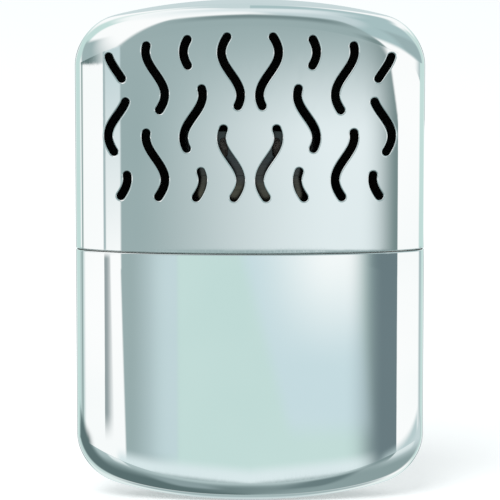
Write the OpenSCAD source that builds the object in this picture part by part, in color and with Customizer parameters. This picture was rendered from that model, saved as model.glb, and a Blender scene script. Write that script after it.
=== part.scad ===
// Catalytic pocket hand warmer. A vented cover slides over the collar of a flat oval fuel tank.
// A burner with a catalyst mat grips the neck of the tank, over a felt wick and cotton wadding.
// Millimetres. +Z is up, the front faces -Y, and the origin lies under the middle of the foot.

/* [Body] */
// Height of the closed warmer
body_h = 100; // [96:0.5:112]
// Width of the warmer
body_w = 69.6; // [64:0.2:76]
// Depth of the warmer, front to back
body_d = 15; // [14.4:0.1:18]
// Height of the seam between the tank and the cover
seam_h = 50.4; // [46:0.2:54]

/* [Rounding] */
// Radius of the arched top and bottom, as seen from the front
arch_r = 130; // [110:1:200]
// Rounding radius along the front and back faces
face_r = 4; // [3:0.1:5]
// Rounding radius at the narrow sides
side_r = 8; // [6:0.1:9]
// Half length of the middle line that the rounding closes on
spine = 22; // [18:0.5:25]
// How deep the flat foot is ground into the arched bottom
foot_cut = 0.1; // [0.06:0.01:0.2]

/* [Sheet metal] */
// Wall of the cover and of the tank
wall = 0.5; // [0.4:0.05:0.6]
// Wall of the collar that the cover slides over
collar_wall = 0.5; // [0.4:0.05:0.6]
// Running gap between the cover and the collar
cover_gap = 0.1; // [0.05:0.01:0.15]
// Width of the seam between the tank and the cover
seam_gap = 0.2; // [0.1:0.05:0.4]
// Thickness of the top plate of the tank
plate_t = 0.5; // [0.4:0.05:0.8]
// How far the collar stands above the seam
collar_h = 9; // [7:0.5:11]
// How far the collar reaches down into the tank
collar_depth = 4; // [3:0.5:6]
// Width and height of the solder beads that seal the collar and the plate
bead = 0.3; // [0.2:0.05:0.35]

/* [Vents] */
// Width of a vent slot
vent_w = 1.6; // [1.2:0.1:2]
// Distance between two columns of slots
vent_pitch = 7.5; // [6.4:0.1:7.8]
// Columns of slots in each half of the cover
vent_side = 4; // [1:1:4]
// Rows that a column is divided into
vent_rows = 2; // [1:1:4]
// Length of metal between two slots of a column
vent_break = 3; // [2:0.1:4]
// Sideways swing of a slot
vent_swing = 1.9; // [0.8:0.1:2]
// Length of one full wave of a slot
vent_wave = 17; // [14:0.5:24]
// Metal above the top plate before the first slots
vent_low = 1; // [0.5:0.1:4]
// Metal between the last slots and the rounded edge of the arch
vent_high = 1.4; // [1:0.1:4]

/* [Neck and filling] */
// Width of the filler neck, outside
neck_w = 26; // [22:0.5:30]
// Depth of the filler neck, outside
neck_d = 8; // [7:0.1:8.6]
// Wall of the neck
neck_wall = 0.4; // [0.3:0.05:0.5]
// How far the neck stands above the top plate
neck_h = 6; // [4:0.2:7]
// Width and thickness of the flange under the plate
flange_w = 1.5; // [1:0.1:1.6]
// Thickness of the flange and of the ring that clamps the screen
flange_t = 0.4; // [0.3:0.05:0.6]
// Width and height of the solder bead round the neck
neck_bead = 0.25; // [0.15:0.05:0.3]
// How far the felt wick stays below the rim of the neck
wick_drop = 0.5; // [0.2:0.1:1.5]
// Play round the wick
wick_gap = 0.1; // [0.05:0.01:0.2]
// Play between the wadding and the faces of the tank
wadding_gap = 0.4; // [0.3:0.05:0.8]
// Play between the wadding and the narrow sides of the tank
wadding_side_gap = 3; // [2.5:0.1:5]

/* [Burner] */
// Wall of the skirt and of the hood
burner_wall = 0.4; // [0.3:0.05:0.5]
// Room between the neck and the skirt, which the grip springs take up
spring_room = 0.45; // [0.4:0.05:0.6]
// Thickness of a grip spring
spring_t = 0.2; // [0.15:0.05:0.25]
// Width of a grip spring
spring_w = 9; // [6:0.5:14]
// Length of a grip spring
spring_l = 4.6; // [3.6:0.1:5.2]
// Play between a grip spring and the neck
spring_play = 0.05; // [0.03:0.01:0.1]
// Height of the skirt
skirt_h = 8; // [7.6:0.1:10]
// Play under the skirt
skirt_play = 0.05; // [0.03:0.01:0.2]
// Thickness of the baffle plate
baffle_t = 0.4; // [0.3:0.05:0.6]
// Height of the catalyst mat
mat_h = 5.6; // [4:0.1:8]
// Play round the catalyst mat
mat_gap = 0.5; // [0.3:0.1:1]
// Rounding of the mat's upper edge
mat_round = 1; // [0.6:0.1:1.6]
// How far the hood laps down over the skirt
hood_lap = 2.2; // [2:0.1:3]
// Width of a side window in the hood
window_w = 1.5; // [1:0.1:1.9]
// Distance between two windows
window_pitch = 2.6; // [2.2:0.1:3.2]
// Metal above and below a window
window_rim = 0.9; // [0.6:0.1:1.4]
// Radius of a hole in the baffle and in the roof of the hood
hole_r = 0.6; // [0.4:0.05:0.8]
// Distance between two holes
hole_pitch = 2.2; // [2:0.1:3]
// Radius of a rivet's shank
rivet_r = 0.45; // [0.35:0.05:0.6]
// Radius of a rivet's head
rivet_head_r = 0.8; // [0.7:0.05:1]
// Thickness of a rivet's outer head
rivet_head_t = 0.3; // [0.2:0.05:0.5]
// Play round a rivet
rivet_play = 0.03; // [0.02:0.01:0.06]

/* [Gauze] */
// Thickness of the gauzes and of the neck screen
gauze_t = 0.3; // [0.2:0.05:0.5]
// Opening between two wires of a gauze
mesh_gap = 1; // [0.8:0.1:1.4]
// Width of a gauze wire
mesh_wire = 0.5; // [0.4:0.05:0.7]

/* [Hidden] */

// Points round an oval and rings in a rounded edge
around = 72;
rings = 7;
$fn = 32;
// Extra length that a cutter runs past the metal
over = 1;

half_w = body_w / 2;
half_d = body_d / 2;
chrome = [0.84, 0.88, 0.89];
nickel = [0.72, 0.72, 0.70];
solder = [0.62, 0.63, 0.62];
wire = [0.55, 0.56, 0.56];
felt = [0.86, 0.84, 0.78];
cotton = [0.95, 0.94, 0.91];
spent_fibre = [0.38, 0.36, 0.34];

// Levels, from the seam upwards
collar_top = seam_h + collar_h;
plate_top = collar_top + plate_t;
neck_top = plate_top + neck_h;
flange_low = collar_top - flange_t;
screen_low = flange_low - gauze_t;
ring_low = screen_low - flange_t;
skirt_low = plate_top + skirt_play;
skirt_top = skirt_low + skirt_h;
baffle_top = skirt_top + baffle_t;
mat_low = baffle_top + gauze_t;
mat_top = mat_low + mat_h;
roof_low = mat_top + gauze_t;
hood_top = roof_low + burner_wall;
hood_low = skirt_top - hood_lap;

// Insets from the outer oval
collar_out = wall + cover_gap;
collar_in = collar_out + collar_wall;

// Insets and widenings from the neck
skirt_in = spring_room;
skirt_out = skirt_in + burner_wall;
hood_out = skirt_out + burner_wall;

// ---- Oval forms ----

// Point of an oval with half axes a and b at angle t, set in by d square to its edge
function oval_point(a, b, t, d) =
    let (side = [b * cos(t), a * sin(t)])
    [a * cos(t), b * sin(t)] - d * side / norm(side);

function oval(d) = [for (i = [0:around - 1]) oval_point(half_w, half_d, 360 * i / around, d)];

// Rounding radius at a share of the half width: face_r in the middle, side_r at the narrow sides
function rounding(share) = face_r + (side_r - face_r) * pow(abs(share), 3);

// Fall of the arch at distance x from the middle, set in by d
function arch(x, d) = arch_r - d - sqrt(pow(arch_r - d, 2) - x * x);

// Ring k of a rounded crown of height h: 0 is at the wall, rings is where the rounding ends
function crown_ring(a, b, h, d, k) = [
    for (i = [0:around - 1])
        let (
            t = 360 * i / around,
            turn = 90 * k / rings,
            p = oval_point(a, b, t, d),
            inner = [spine * a / half_w * cos(t), 0],
            r = min(rounding(cos(t)) - d, 0.9 * norm(p - inner)),
            q = p + (inner - p) * r * (1 - cos(turn)) / norm(p - inner)
        )
        [q[0], q[1], h - d - arch(q[0], d) - r * (1 - sin(turn))]
];

function flat_ring(a, b, z, d) = [
    for (i = [0:around - 1])
        let (p = oval_point(a, b, 360 * i / around, d))
        [p[0], p[1], z]
];

// Triangles between ring j and ring k
function band(j, k) = [
    for (i = [0:around - 1], half = [0, 1])
        let (n = (i + 1) % around)
        half == 0
            ? [j * around + i, k * around + i, j * around + n]
            : [j * around + n, k * around + i, k * around + n]
];

// Triangles across ring j, from its front half to its back half
function lid_over(j, up) = [
    for (i = [0:around / 2 - 1], half = [0, 1])
        let (
            f = [i, i + 1, around - i - 1, (around - i) % around],
            tri = half == 0 ? [f[0], f[1], f[2]] : [f[0], f[2], f[3]]
        )
        if (tri[0] != tri[1] && tri[1] != tri[2] && tri[2] != tri[0])
            [for (c = up ? [2, 1, 0] : [0, 1, 2]) j * around + tri[c]]
];

// Drawn oval shell with its rim at z = 0 and its crown at z = h
module drawn_shell(h) {
    last = rings + 1;
    points = concat(
        flat_ring(half_w, half_d, 0, 0),
        [for (k = [0:rings]) each crown_ring(half_w, half_d, h, 0, k)],
        [for (k = [rings:-1:0]) each crown_ring(half_w, half_d, h, wall, k)],
        flat_ring(half_w, half_d, 0, wall)
    );
    faces = concat(
        [for (j = [0:last - 1]) each band(j, j + 1)],
        lid_over(last, true),
        lid_over(last + 1, false),
        [for (j = [last + 1:2 * last]) each band(j, j + 1)],
        band(2 * last + 1, 0)
    );
    polyhedron(points = points, faces = faces);
}

// Solid oval plug with a flat end at z = 0 and its crown at z = h
module oval_plug(a, b, h) {
    last = rings + 1;
    points = concat(
        flat_ring(a, b, 0, 0),
        [for (k = [0:rings]) each crown_ring(a, b, h, 0, k)]
    );
    faces = concat(
        lid_over(0, false),
        [for (j = [0:last - 1]) each band(j, j + 1)],
        lid_over(last, true)
    );
    polyhedron(points = points, faces = faces);
}

// Upright oval band between two insets of the outer oval
module oval_band(outer, inner, low, high) {
    translate([0, 0, low])
        linear_extrude(high - low)
            difference() {
                polygon(oval(outer));
                polygon(oval(inner));
            }
}

// ---- Stadium forms of the neck and the burner ----

// Outline of the neck, widened by grow on every side
module neck_outline(grow) {
    straight = neck_w - neck_d;
    for (side = [-1, 1])
        translate([side * straight / 2, 0])
            circle(neck_d / 2 + grow);
    square([straight, neck_d + 2 * grow], center = true);
}

module neck_band(outer, inner, low, high) {
    translate([0, 0, low])
        linear_extrude(high - low)
            difference() {
                neck_outline(outer);
                neck_outline(inner);
            }
}

// Round holes in rows, as far as a plate widened by grow can hold them
module hole_grid(grow) {
    rows = floor((neck_d / 2 + grow - hole_r) / hole_pitch);
    columns = floor(((neck_w - neck_d) / 2 + hole_r) / hole_pitch);
    for (x = [-columns:columns], y = [-rows:rows])
        translate([x * hole_pitch, y * hole_pitch])
            circle(hole_r, $fn = 16);
}

// Flat gauze that fills the neck's outline widened by grow, with whole openings only
module gauze(grow, low) {
    pitch = mesh_gap + mesh_wire;
    rows = floor((neck_d / 2 + grow - mesh_wire) / pitch - 0.5);
    columns = floor((neck_w - neck_d) / 2 / pitch);
    translate([0, 0, low])
        linear_extrude(gauze_t)
            difference() {
                neck_outline(grow);
                for (x = [-columns:columns], y = [-rows:rows])
                    translate([x * pitch, y * pitch])
                        square(mesh_gap, center = true);
            }
}

// ---- Vents ----

vent_bottom = plate_top + vent_low;

// Distance of column c from the middle
function vent_column_x(c) = (c + 0.5) * vent_pitch;

// Height at which the slots of column c end
function vent_top(c) =
    let (x = vent_column_x(c))
    body_h - arch(x, 0) - rounding(x / half_w) - vent_high;

// Distance of a slot of column c from the middle, at height z
function vent_x(c, z) = vent_column_x(c) - vent_swing * sin(360 * (z - vent_bottom) / vent_wave);

// Slot of column c from height low to height high, cut through the front face.
// side is -1 in the left half and 1 in the right half, which mirror each other.
module vent_slot(c, side, low, high) {
    first = low + vent_w / 2;
    length = high - low - vent_w;
    steps = max(1, round(length / 2));
    for (i = [0:steps - 1])
        hull()
            for (end = [i, i + 1])
                let (z = first + length * end / steps)
                    translate([side * vent_x(c, z), 0, z])
                        rotate([90, 0, 0])
                            cylinder(r = vent_w / 2, h = half_d + over, $fn = 20);
}

// Column of slots. The breaks of every second column are shifted by half a row.
module vent_column(c, side) {
    length = vent_top(c) - vent_bottom;
    shift = c % 2 / 2;
    for (k = [0:vent_rows - 1 + ceil(shift)]) {
        from_row = max(0, k - shift);
        to_row = min(vent_rows, k + 1 - shift);
        low = from_row / vent_rows * length + (from_row > 0 ? vent_break / 2 : 0);
        high = to_row / vent_rows * length - (to_row < vent_rows ? vent_break / 2 : 0);
        if (high - low > vent_w)
            vent_slot(c, side, vent_bottom + low, vent_bottom + high);
    }
}

// ---- Sub-parts ----

module vented_cover() color(chrome) {
    low = seam_h + seam_gap / 2;
    difference() {
        translate([0, 0, low])
            drawn_shell(body_h - low);
        for (c = [0:vent_side - 1], side = [-1, 1])
            vent_column(c, side);
    }
}

module tank_shell() color(chrome) {
    high = seam_h - seam_gap / 2;
    difference() {
        translate([0, 0, high])
            mirror([0, 0, 1])
                drawn_shell(high + foot_cut);
        translate([-half_w, -half_d, -over])
            cube([body_w, body_d, over]);
    }
}

module tank_collar() color(nickel)
    oval_band(collar_out, collar_in, seam_h - collar_depth, collar_top);

module collar_solder() color(solder)
    oval_band(wall, wall + cover_gap + bead, seam_h - collar_depth - bead, seam_h - collar_depth);

module top_plate() color(nickel)
    translate([0, 0, collar_top])
        linear_extrude(plate_t)
            difference() {
                polygon(oval(collar_out));
                neck_outline(0);
            }

module plate_solder() color(solder)
    oval_band(collar_in, collar_in + bead, collar_top - bead, collar_top);

module filler_neck() color(nickel) {
    neck_band(0, -neck_wall, flange_low, neck_top);
    neck_band(flange_w, -neck_wall, flange_low, collar_top);
}

module neck_solder() color(solder)
    neck_band(neck_bead, 0, plate_top, plate_top + neck_bead);

module neck_screen() color(wire)
    gauze(flange_w, screen_low);

module screen_ring() color(nickel)
    neck_band(flange_w, -neck_wall, ring_low, screen_low);

module wick_pad() color(felt)
    translate([0, 0, flange_low])
        linear_extrude(neck_top - wick_drop - flange_low)
            neck_outline(-neck_wall - wick_gap);

module cotton_wadding() color(cotton) {
    high = ring_low;
    translate([0, 0, high])
        mirror([0, 0, 1])
            oval_plug(
                half_w - collar_in - wadding_side_gap,
                half_d - collar_in - wadding_gap,
                high - wall - wadding_gap
            );
}

// Places of the rivets along the straight sides
rivet_x = (neck_w - neck_d) / 2 - rivet_head_r;
rivet_z = (hood_low + skirt_top) / 2;

// Holes for the rivets through the laps of the skirt and the hood
module rivet_holes() {
    for (x = [-rivet_x, rivet_x])
        translate([x, 0, rivet_z])
            rotate([90, 0, 0])
                cylinder(r = rivet_r + rivet_play, h = body_d, center = true);
}

module burner_skirt() color(nickel)
    difference() {
        neck_band(skirt_out, skirt_in, skirt_low, skirt_top);
        rivet_holes();
    }

// Leaf spring on the inside of the skirt's front wall, bowed towards the neck
module grip_spring() {
    face = neck_d / 2 + skirt_in;
    bow = spring_room - spring_t - spring_play;
    low = (skirt_low + hood_low - spring_l) / 2;
    back = [[0, 0], [0, 0.15], [bow, 0.4], [bow, 0.6], [0, 0.85], [0, 1]];
    front = [for (i = [len(back) - 1:-1:0]) back[i] + [spring_t, 0]];
    translate([-spring_w / 2, -face, low])
        rotate([90, 0, 90])
            linear_extrude(spring_w)
                polygon([for (p = concat(back, front)) [p[0], p[1] * spring_l]]);
}

module front_grip_spring() color(wire)
    grip_spring();

module rear_grip_spring() color(wire)
    mirror([0, 1, 0])
        grip_spring();

module burner_baffle() color(nickel)
    translate([0, 0, skirt_top])
        linear_extrude(baffle_t)
            difference() {
                neck_outline(skirt_out);
                hole_grid(skirt_in);
            }

module lower_gauze() color(wire)
    gauze(skirt_in, baffle_top);

module catalyst_mat() color(spent_fibre)
    hull() {
        translate([0, 0, mat_low])
            linear_extrude(mat_h - mat_round)
                neck_outline(skirt_out - mat_gap);
        translate([0, 0, mat_low])
            linear_extrude(mat_h)
                neck_outline(skirt_out - mat_gap - mat_round);
    }

module upper_gauze() color(wire)
    gauze(skirt_in, mat_top);

module burner_hood() color(nickel) {
    windows = floor((neck_w - neck_d) / 2 / window_pitch);
    window_low = baffle_top + window_rim;
    window_high = mat_top - window_rim;
    difference() {
        translate([0, 0, hood_low])
            linear_extrude(hood_top - hood_low)
                neck_outline(hood_out);
        translate([0, 0, hood_low - over])
            linear_extrude(roof_low - hood_low + over)
                neck_outline(skirt_out);
        translate([0, 0, roof_low - over])
            linear_extrude(2 * over + burner_wall)
                hole_grid(0);
        for (i = [-windows:windows])
            translate([i * window_pitch - window_w / 2, -half_d, window_low])
                cube([window_w, body_d, window_high - window_low]);
        translate([-half_w, -window_w / 2, window_low])
            cube([body_w, window_w, window_high - window_low]);
        rivet_holes();
    }
}

module hood_rivets() color(nickel) {
    grip = neck_d / 2 + skirt_in;
    for (x = [-rivet_x, rivet_x], side = [0, 180])
        rotate([0, 0, side])
            translate([x, -grip, rivet_z])
                rotate([90, 0, 0]) {
                    cylinder(r = rivet_r, h = 2 * burner_wall + rivet_head_t);
                    translate([0, 0, 2 * burner_wall])
                        cylinder(r = rivet_head_r, h = rivet_head_t);
                }
}

vented_cover();
tank_shell();
tank_collar();
collar_solder();
top_plate();
plate_solder();
filler_neck();
neck_solder();
neck_screen();
screen_ring();
wick_pad();
cotton_wadding();
burner_skirt();
front_grip_spring();
rear_grip_spring();
burner_baffle();
lower_gauze();
catalyst_mat();
upper_gauze();
burner_hood();
hood_rivets();
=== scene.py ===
"""Looks of a catalytic pocket hand warmer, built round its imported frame.

The warmer has two drawn and chromed shells, a collared tank top with a filler neck, and a burner that
clips over the neck. Each of these is a class that builds its own pieces and dresses them. Sizes are in
millimetres until an object is made. +Z is up and the vented face looks towards -Y.
"""

import logging
import math
from collections.abc import Callable, Sequence
from dataclasses import dataclass, field
from enum import Enum

import bpy
import numpy as np
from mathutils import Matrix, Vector, noise
from mathutils.geometry import delaunay_2d_cdt


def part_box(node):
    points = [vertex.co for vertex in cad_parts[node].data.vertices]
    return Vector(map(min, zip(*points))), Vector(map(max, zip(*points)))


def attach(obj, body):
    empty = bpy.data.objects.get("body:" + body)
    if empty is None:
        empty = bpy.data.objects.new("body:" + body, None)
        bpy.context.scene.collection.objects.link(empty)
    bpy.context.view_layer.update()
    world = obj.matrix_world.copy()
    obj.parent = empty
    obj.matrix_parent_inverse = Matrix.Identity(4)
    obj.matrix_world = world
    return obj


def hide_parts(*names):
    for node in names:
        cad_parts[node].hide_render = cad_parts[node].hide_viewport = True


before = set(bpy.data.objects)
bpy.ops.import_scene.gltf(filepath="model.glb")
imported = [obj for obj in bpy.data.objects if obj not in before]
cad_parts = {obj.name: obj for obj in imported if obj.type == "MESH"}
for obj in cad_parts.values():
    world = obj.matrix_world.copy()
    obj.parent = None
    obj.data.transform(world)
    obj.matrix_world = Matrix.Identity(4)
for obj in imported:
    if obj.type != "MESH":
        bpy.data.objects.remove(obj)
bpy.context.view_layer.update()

LOG = logging.getLogger("hand_warmer")
MM = 0.001
FULL_TURN = 2 * math.pi

# Numbers of a Mix node's two colours and of the colour that it gives
UNDER, OVER, MIXED = 6, 7, 2

Array = np.ndarray
Place = Callable[[Array], tuple[Array, Array]]
Rows = list[list[int]]
Material = bpy.types.Material
Tree = bpy.types.NodeTree
Node = bpy.types.Node
Socket = bpy.types.NodeSocket
Inputs = dict[str | int, object]


# ---- Colour and nodes ----


def linear(colour: str) -> tuple[float, float, float, float]:
    """Turns an sRGB colour into Blender's linear one.

    Args:
        colour: Hex digits, such as "#C8D0D2".

    Returns:
        Red, green, blue and an alpha of 1.
    """
    shares = [int(colour[i : i + 2], 16) / 255 for i in (1, 3, 5)]
    return (*[s / 12.92 if s <= 0.04045 else ((s + 0.055) / 1.055) ** 2.4 for s in shares], 1.0)


def per_mm(size: float) -> float:
    """Texture scale at which one feature is this many millimetres wide."""
    return 1 / (size * MM)


def set_stops(ramp: bpy.types.ColorRamp, stops: Sequence[tuple[float, str]]) -> None:
    """Gives a colour ramp its stops.

    Args:
        ramp: Ramp of a new node.
        stops: Position from 0 to 1 and hex colour of each stop, in order.
    """
    while len(ramp.elements) < len(stops):
        ramp.elements.new(1.0)
    for element, (position, colour) in zip(ramp.elements, stops):
        element.position = position
        element.color = linear(colour)


def add_node(tree: Tree, kind: str, inputs: Inputs | None = None, **settings: object) -> Node:
    """Adds one node to a tree, with its settings and links.

    Args:
        tree: Tree that takes the node.
        kind: Blender's name for the type of node, without its ShaderNode.
        inputs: Name or number of each input that is set, with its value, the output that feeds it, or
            the node whose first output feeds it.
        settings: The node's own settings, or the stops of its colour ramp.

    Returns:
        The new node.
    """
    node = tree.nodes.new(f"ShaderNode{kind}")
    for name, value in settings.items():
        if name == "stops":
            set_stops(node.color_ramp, value)
        else:
            setattr(node, name, value)
    for key, value in (inputs or {}).items():
        feed = value.outputs[0] if isinstance(value, Node) else value
        if isinstance(feed, Socket):
            tree.links.new(feed, node.inputs[key])
        else:
            node.inputs[key].default_value = feed
    return node


# ---- Finishes ----


@dataclass(frozen=True)
class Finish:
    """A surface finish, which makes one procedural material."""

    name: str

    def material(self) -> Material:
        """Makes the material.

        Returns:
            A material with one shader, whose inputs the finish sets.
        """
        made = bpy.data.materials.new(self.name)
        made.use_nodes = True
        tree = made.node_tree
        tree.nodes.clear()
        place = add_node(tree, "TexCoord").outputs["Object"]
        shader = add_node(tree, "BsdfPrincipled", self.surface(tree, place))
        add_node(tree, "OutputMaterial", {"Surface": shader})
        return made

    def surface(self, tree: Tree, place: Socket) -> Inputs:
        """Adds the finish's patterns.

        Args:
            tree: Tree of the material.
            place: Position on the piece.

        Returns:
            The shader's inputs.
        """
        raise NotImplementedError


@dataclass(frozen=True)
class BrightChrome(Finish):
    """Bright chrome over nickel on drawn and buffed brass.

    The plating is a cool, slightly blue mirror. Buffing leaves faint hairlines, and handling leaves a
    soft haze.
    """

    name: str = "bright_chrome"
    plating: str = "#FCFDFD"
    cast: str = "#F7FAFA"
    cast_size: float = 30.0
    haze_size: float = 9.0
    hairline_width: float = 0.12
    hairline_length: float = 9.0
    hairline_depth: float = 0.00012
    wear: tuple[float, float] = (0.15, 0.45)
    roughness: tuple[float, float] = (0.003, 0.015)

    def surface(self, tree: Tree, place: Socket) -> Inputs:
        """Adds the plating's cast, its haze and its hairlines.

        Args:
            tree: Tree of the material.
            place: Position on the piece.

        Returns:
            The shader's inputs.
        """
        cast = add_node(tree, "TexNoise", {"Vector": place, "Scale": per_mm(self.cast_size), "Detail": 2.0})
        stops = ((0.35, self.cast), (0.65, self.plating))
        colour = add_node(tree, "ValToRGB", {"Fac": cast}, stops=stops)
        haze = add_node(tree, "TexNoise", {"Vector": place, "Scale": per_mm(self.haze_size), "Detail": 5.0})
        # Hairlines run up the body, as a buffing wheel leaves them, and are far longer than they are
        # wide. Real ones are finer still, and are drawn as coarse as they need to show.
        stretch = (1.0, 1.0, self.hairline_width / self.hairline_length)
        stretched = add_node(tree, "Mapping", {"Vector": place, "Scale": stretch})
        scale = per_mm(self.hairline_width)
        hairlines = add_node(tree, "TexNoise", {"Vector": stretched, "Scale": scale, "Detail": 1.0})
        worn = add_node(tree, "Math", {0: haze, 1: hairlines}, operation="MULTIPLY")
        wear = {"Value": worn, "From Min": self.wear[0], "From Max": self.wear[1]}
        spread = {"To Min": self.roughness[0], "To Max": self.roughness[1]}
        roughness = add_node(tree, "MapRange", wear | spread)
        depth = {"Height": hairlines, "Distance": self.hairline_depth * MM, "Strength": 1.0}
        bump = add_node(tree, "Bump", depth)
        return {"Base Color": colour, "Metallic": 1.0, "Roughness": roughness, "Normal": bump}


@dataclass(frozen=True)
class SatinNickel(Finish):
    """Satin nickel plating on pressed brass: a warm grey metal whose fine grain spreads the light.

    With heat_and_shade above 0, years of use have tinted it straw, brown and blue where the mat glows.
    Towards the top it goes near black, partly as painted shade for the inside of the cover.
    """

    name: str = "satin_nickel"
    plating: str = "#E0E1DD"
    shade: str = "#CBCDC9"
    cloud_size: float = 3.0
    grain_width: float = 0.15
    grain_length: float = 4.0
    grain_depth: float = 0.004
    grain_strength: float = 0.6
    contrast: tuple[float, float] = (0.3, 0.7)
    roughness: tuple[float, float] = (0.2, 0.34)
    heat_and_shade: float = 0.0
    heat_and_shade_low: float = 0.0
    heat_and_shade_high: float = 1.0
    heat_and_shade_reach: float = 0.75
    heat_and_shade_wander: float = 0.4
    # Straw to blue from use, then near black at the top as painted shade that the slots show.
    tempering_and_shade: tuple[tuple[float, str], ...] = (
        (0.15, "#8F897C"),
        (0.4, "#5E4F3C"),
        (0.6, "#3F332E"),
        (0.75, "#302C33"),
        (0.9, "#262B32"),
        (1.0, "#242526"),
    )

    def surface(self, tree: Tree, place: Socket) -> Inputs:
        """Adds the plating's clouds, its tint from heat and its grain.

        Args:
            tree: Tree of the material.
            place: Position on the piece.

        Returns:
            The shader's inputs.
        """
        stretch = (1.0, 1.0, self.grain_length / self.grain_width)
        stretched = add_node(tree, "Mapping", {"Vector": place, "Scale": stretch})
        scale = per_mm(self.grain_length)
        grain = add_node(tree, "TexNoise", {"Vector": stretched, "Scale": scale, "Detail": 4.0})
        scale = per_mm(self.cloud_size)
        clouds = add_node(tree, "TexNoise", {"Vector": place, "Scale": scale, "Detail": 4.0})
        low, high = self.contrast
        stops = ((low, self.shade), (high, self.plating))
        colour = add_node(tree, "ValToRGB", {"Fac": clouds}, stops=stops)
        tinted = {"Factor": self.heat_and_shade, UNDER: colour, OVER: self.heat_and_shade_tint(tree, place, clouds)}
        base = add_node(tree, "Mix", tinted, data_type="RGBA").outputs[MIXED]
        marks = {"Value": grain, "From Min": low, "From Max": high}
        spread = {"To Min": self.roughness[0], "To Max": self.roughness[1]}
        roughness = add_node(tree, "MapRange", marks | spread)
        depth = {"Height": grain, "Distance": self.grain_depth * MM, "Strength": self.grain_strength}
        bump = add_node(tree, "Bump", depth)
        return {"Base Color": base, "Metallic": 1.0, "Roughness": roughness, "Normal": bump}

    def heat_and_shade_tint(self, tree: Tree, place: Socket, wander: Node) -> Node:
        """Adds the temper colours, which follow height and wander a little. Towards the top they go near
        black, partly as painted shade inside the cover.

        Args:
            tree: Tree of the material.
            place: Position on the piece.
            wander: Noise that makes the bands uneven.

        Returns:
            The ramp that gives the tint.
        """
        height = add_node(tree, "SeparateXYZ", {"Vector": place}).outputs["Z"]
        rise = {"Value": height, "From Min": self.heat_and_shade_low * MM, "From Max": self.heat_and_shade_high * MM}
        level = add_node(tree, "MapRange", rise | {"To Max": self.heat_and_shade_reach})
        uneven = {0: wander, 1: self.heat_and_shade_wander, 2: level}
        band = add_node(tree, "Math", uneven, operation="MULTIPLY_ADD")
        return add_node(tree, "ValToRGB", {"Fac": band}, stops=self.tempering_and_shade)


@dataclass(frozen=True)
class StainedAndShadedMetal(Finish):
    """Bare brass inside the drawn shells, browned and sooted by years of warm vapour: dark and dull.

    Its near-black tones are partly painted shade for the inside of the shells, which the slots and the seam
    show.
    """

    name: str = "stained_and_shaded_metal"
    soot_and_shade: str = "#101313"
    brown: str = "#22201C"
    cloud_size: float = 5.0
    metallic: float = 0.6
    roughness: tuple[float, float] = (0.55, 0.8)

    def surface(self, tree: Tree, place: Socket) -> Inputs:
        """Adds the sooty clouds, which also stand for painted shade.

        Args:
            tree: Tree of the material.
            place: Position on the piece.

        Returns:
            The shader's inputs.
        """
        scale = per_mm(self.cloud_size)
        clouds = add_node(tree, "TexNoise", {"Vector": place, "Scale": scale, "Detail": 6.0})
        # Both tones are near black: brown stain, and painted shade for the inside of the shells.
        colour = add_node(tree, "ValToRGB", {"Fac": clouds}, stops=((0.35, self.soot_and_shade), (0.7, self.brown)))
        spread = {"Value": clouds, "To Min": self.roughness[0], "To Max": self.roughness[1]}
        roughness = add_node(tree, "MapRange", spread)
        return {"Base Color": colour, "Metallic": self.metallic, "Roughness": roughness}


@dataclass(frozen=True)
class SoftSolder(Finish):
    """Tin solder that ran and froze: dull grey, a little lumpy, with a frosted skin."""

    name: str = "soft_solder"
    bright: str = "#B4B6B5"
    dull: str = "#86888A"
    lump_size: float = 0.5
    lump_depth: float = 0.03
    frost_size: float = 0.125
    roughness: tuple[float, float] = (0.34, 0.56)

    def surface(self, tree: Tree, place: Socket) -> Inputs:
        """Adds the lumps and the frost.

        Args:
            tree: Tree of the material.
            place: Position on the piece.

        Returns:
            The shader's inputs.
        """
        scale = per_mm(self.lump_size)
        lumps = add_node(tree, "TexNoise", {"Vector": place, "Scale": scale, "Detail": 3.0})
        frost = add_node(tree, "TexVoronoi", {"Vector": place, "Scale": per_mm(self.frost_size)})
        colour = add_node(tree, "ValToRGB", {"Fac": lumps}, stops=((0.3, self.dull), (0.7, self.bright)))
        spread = {"Value": frost, "To Min": self.roughness[0], "To Max": self.roughness[1]}
        roughness = add_node(tree, "MapRange", spread)
        bump = add_node(tree, "Bump", {"Height": lumps, "Distance": self.lump_depth * MM})
        return {"Base Color": colour, "Metallic": 1.0, "Roughness": roughness, "Normal": bump}


@dataclass(frozen=True)
class DrawnWire(Finish):
    """Drawn stainless wire or rolled spring strip: a grey metal with fine marks along its length."""

    name: str = "drawn_wire"
    bright: str = "#B5B4B0"
    dull: str = "#8E8C88"
    mark_size: float = 0.25
    roughness: tuple[float, float] = (0.2, 0.4)

    def surface(self, tree: Tree, place: Socket) -> Inputs:
        """Adds the marks of drawing.

        Args:
            tree: Tree of the material.
            place: Position on the piece.

        Returns:
            The shader's inputs.
        """
        scale = per_mm(self.mark_size)
        marks = add_node(tree, "TexNoise", {"Vector": place, "Scale": scale, "Detail": 5.0})
        colour = add_node(tree, "ValToRGB", {"Fac": marks}, stops=((0.3, self.dull), (0.7, self.bright)))
        spread = {"Value": marks, "To Min": self.roughness[0], "To Max": self.roughness[1]}
        roughness = add_node(tree, "MapRange", spread)
        return {"Base Color": colour, "Metallic": 1.0, "Roughness": roughness}


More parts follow.
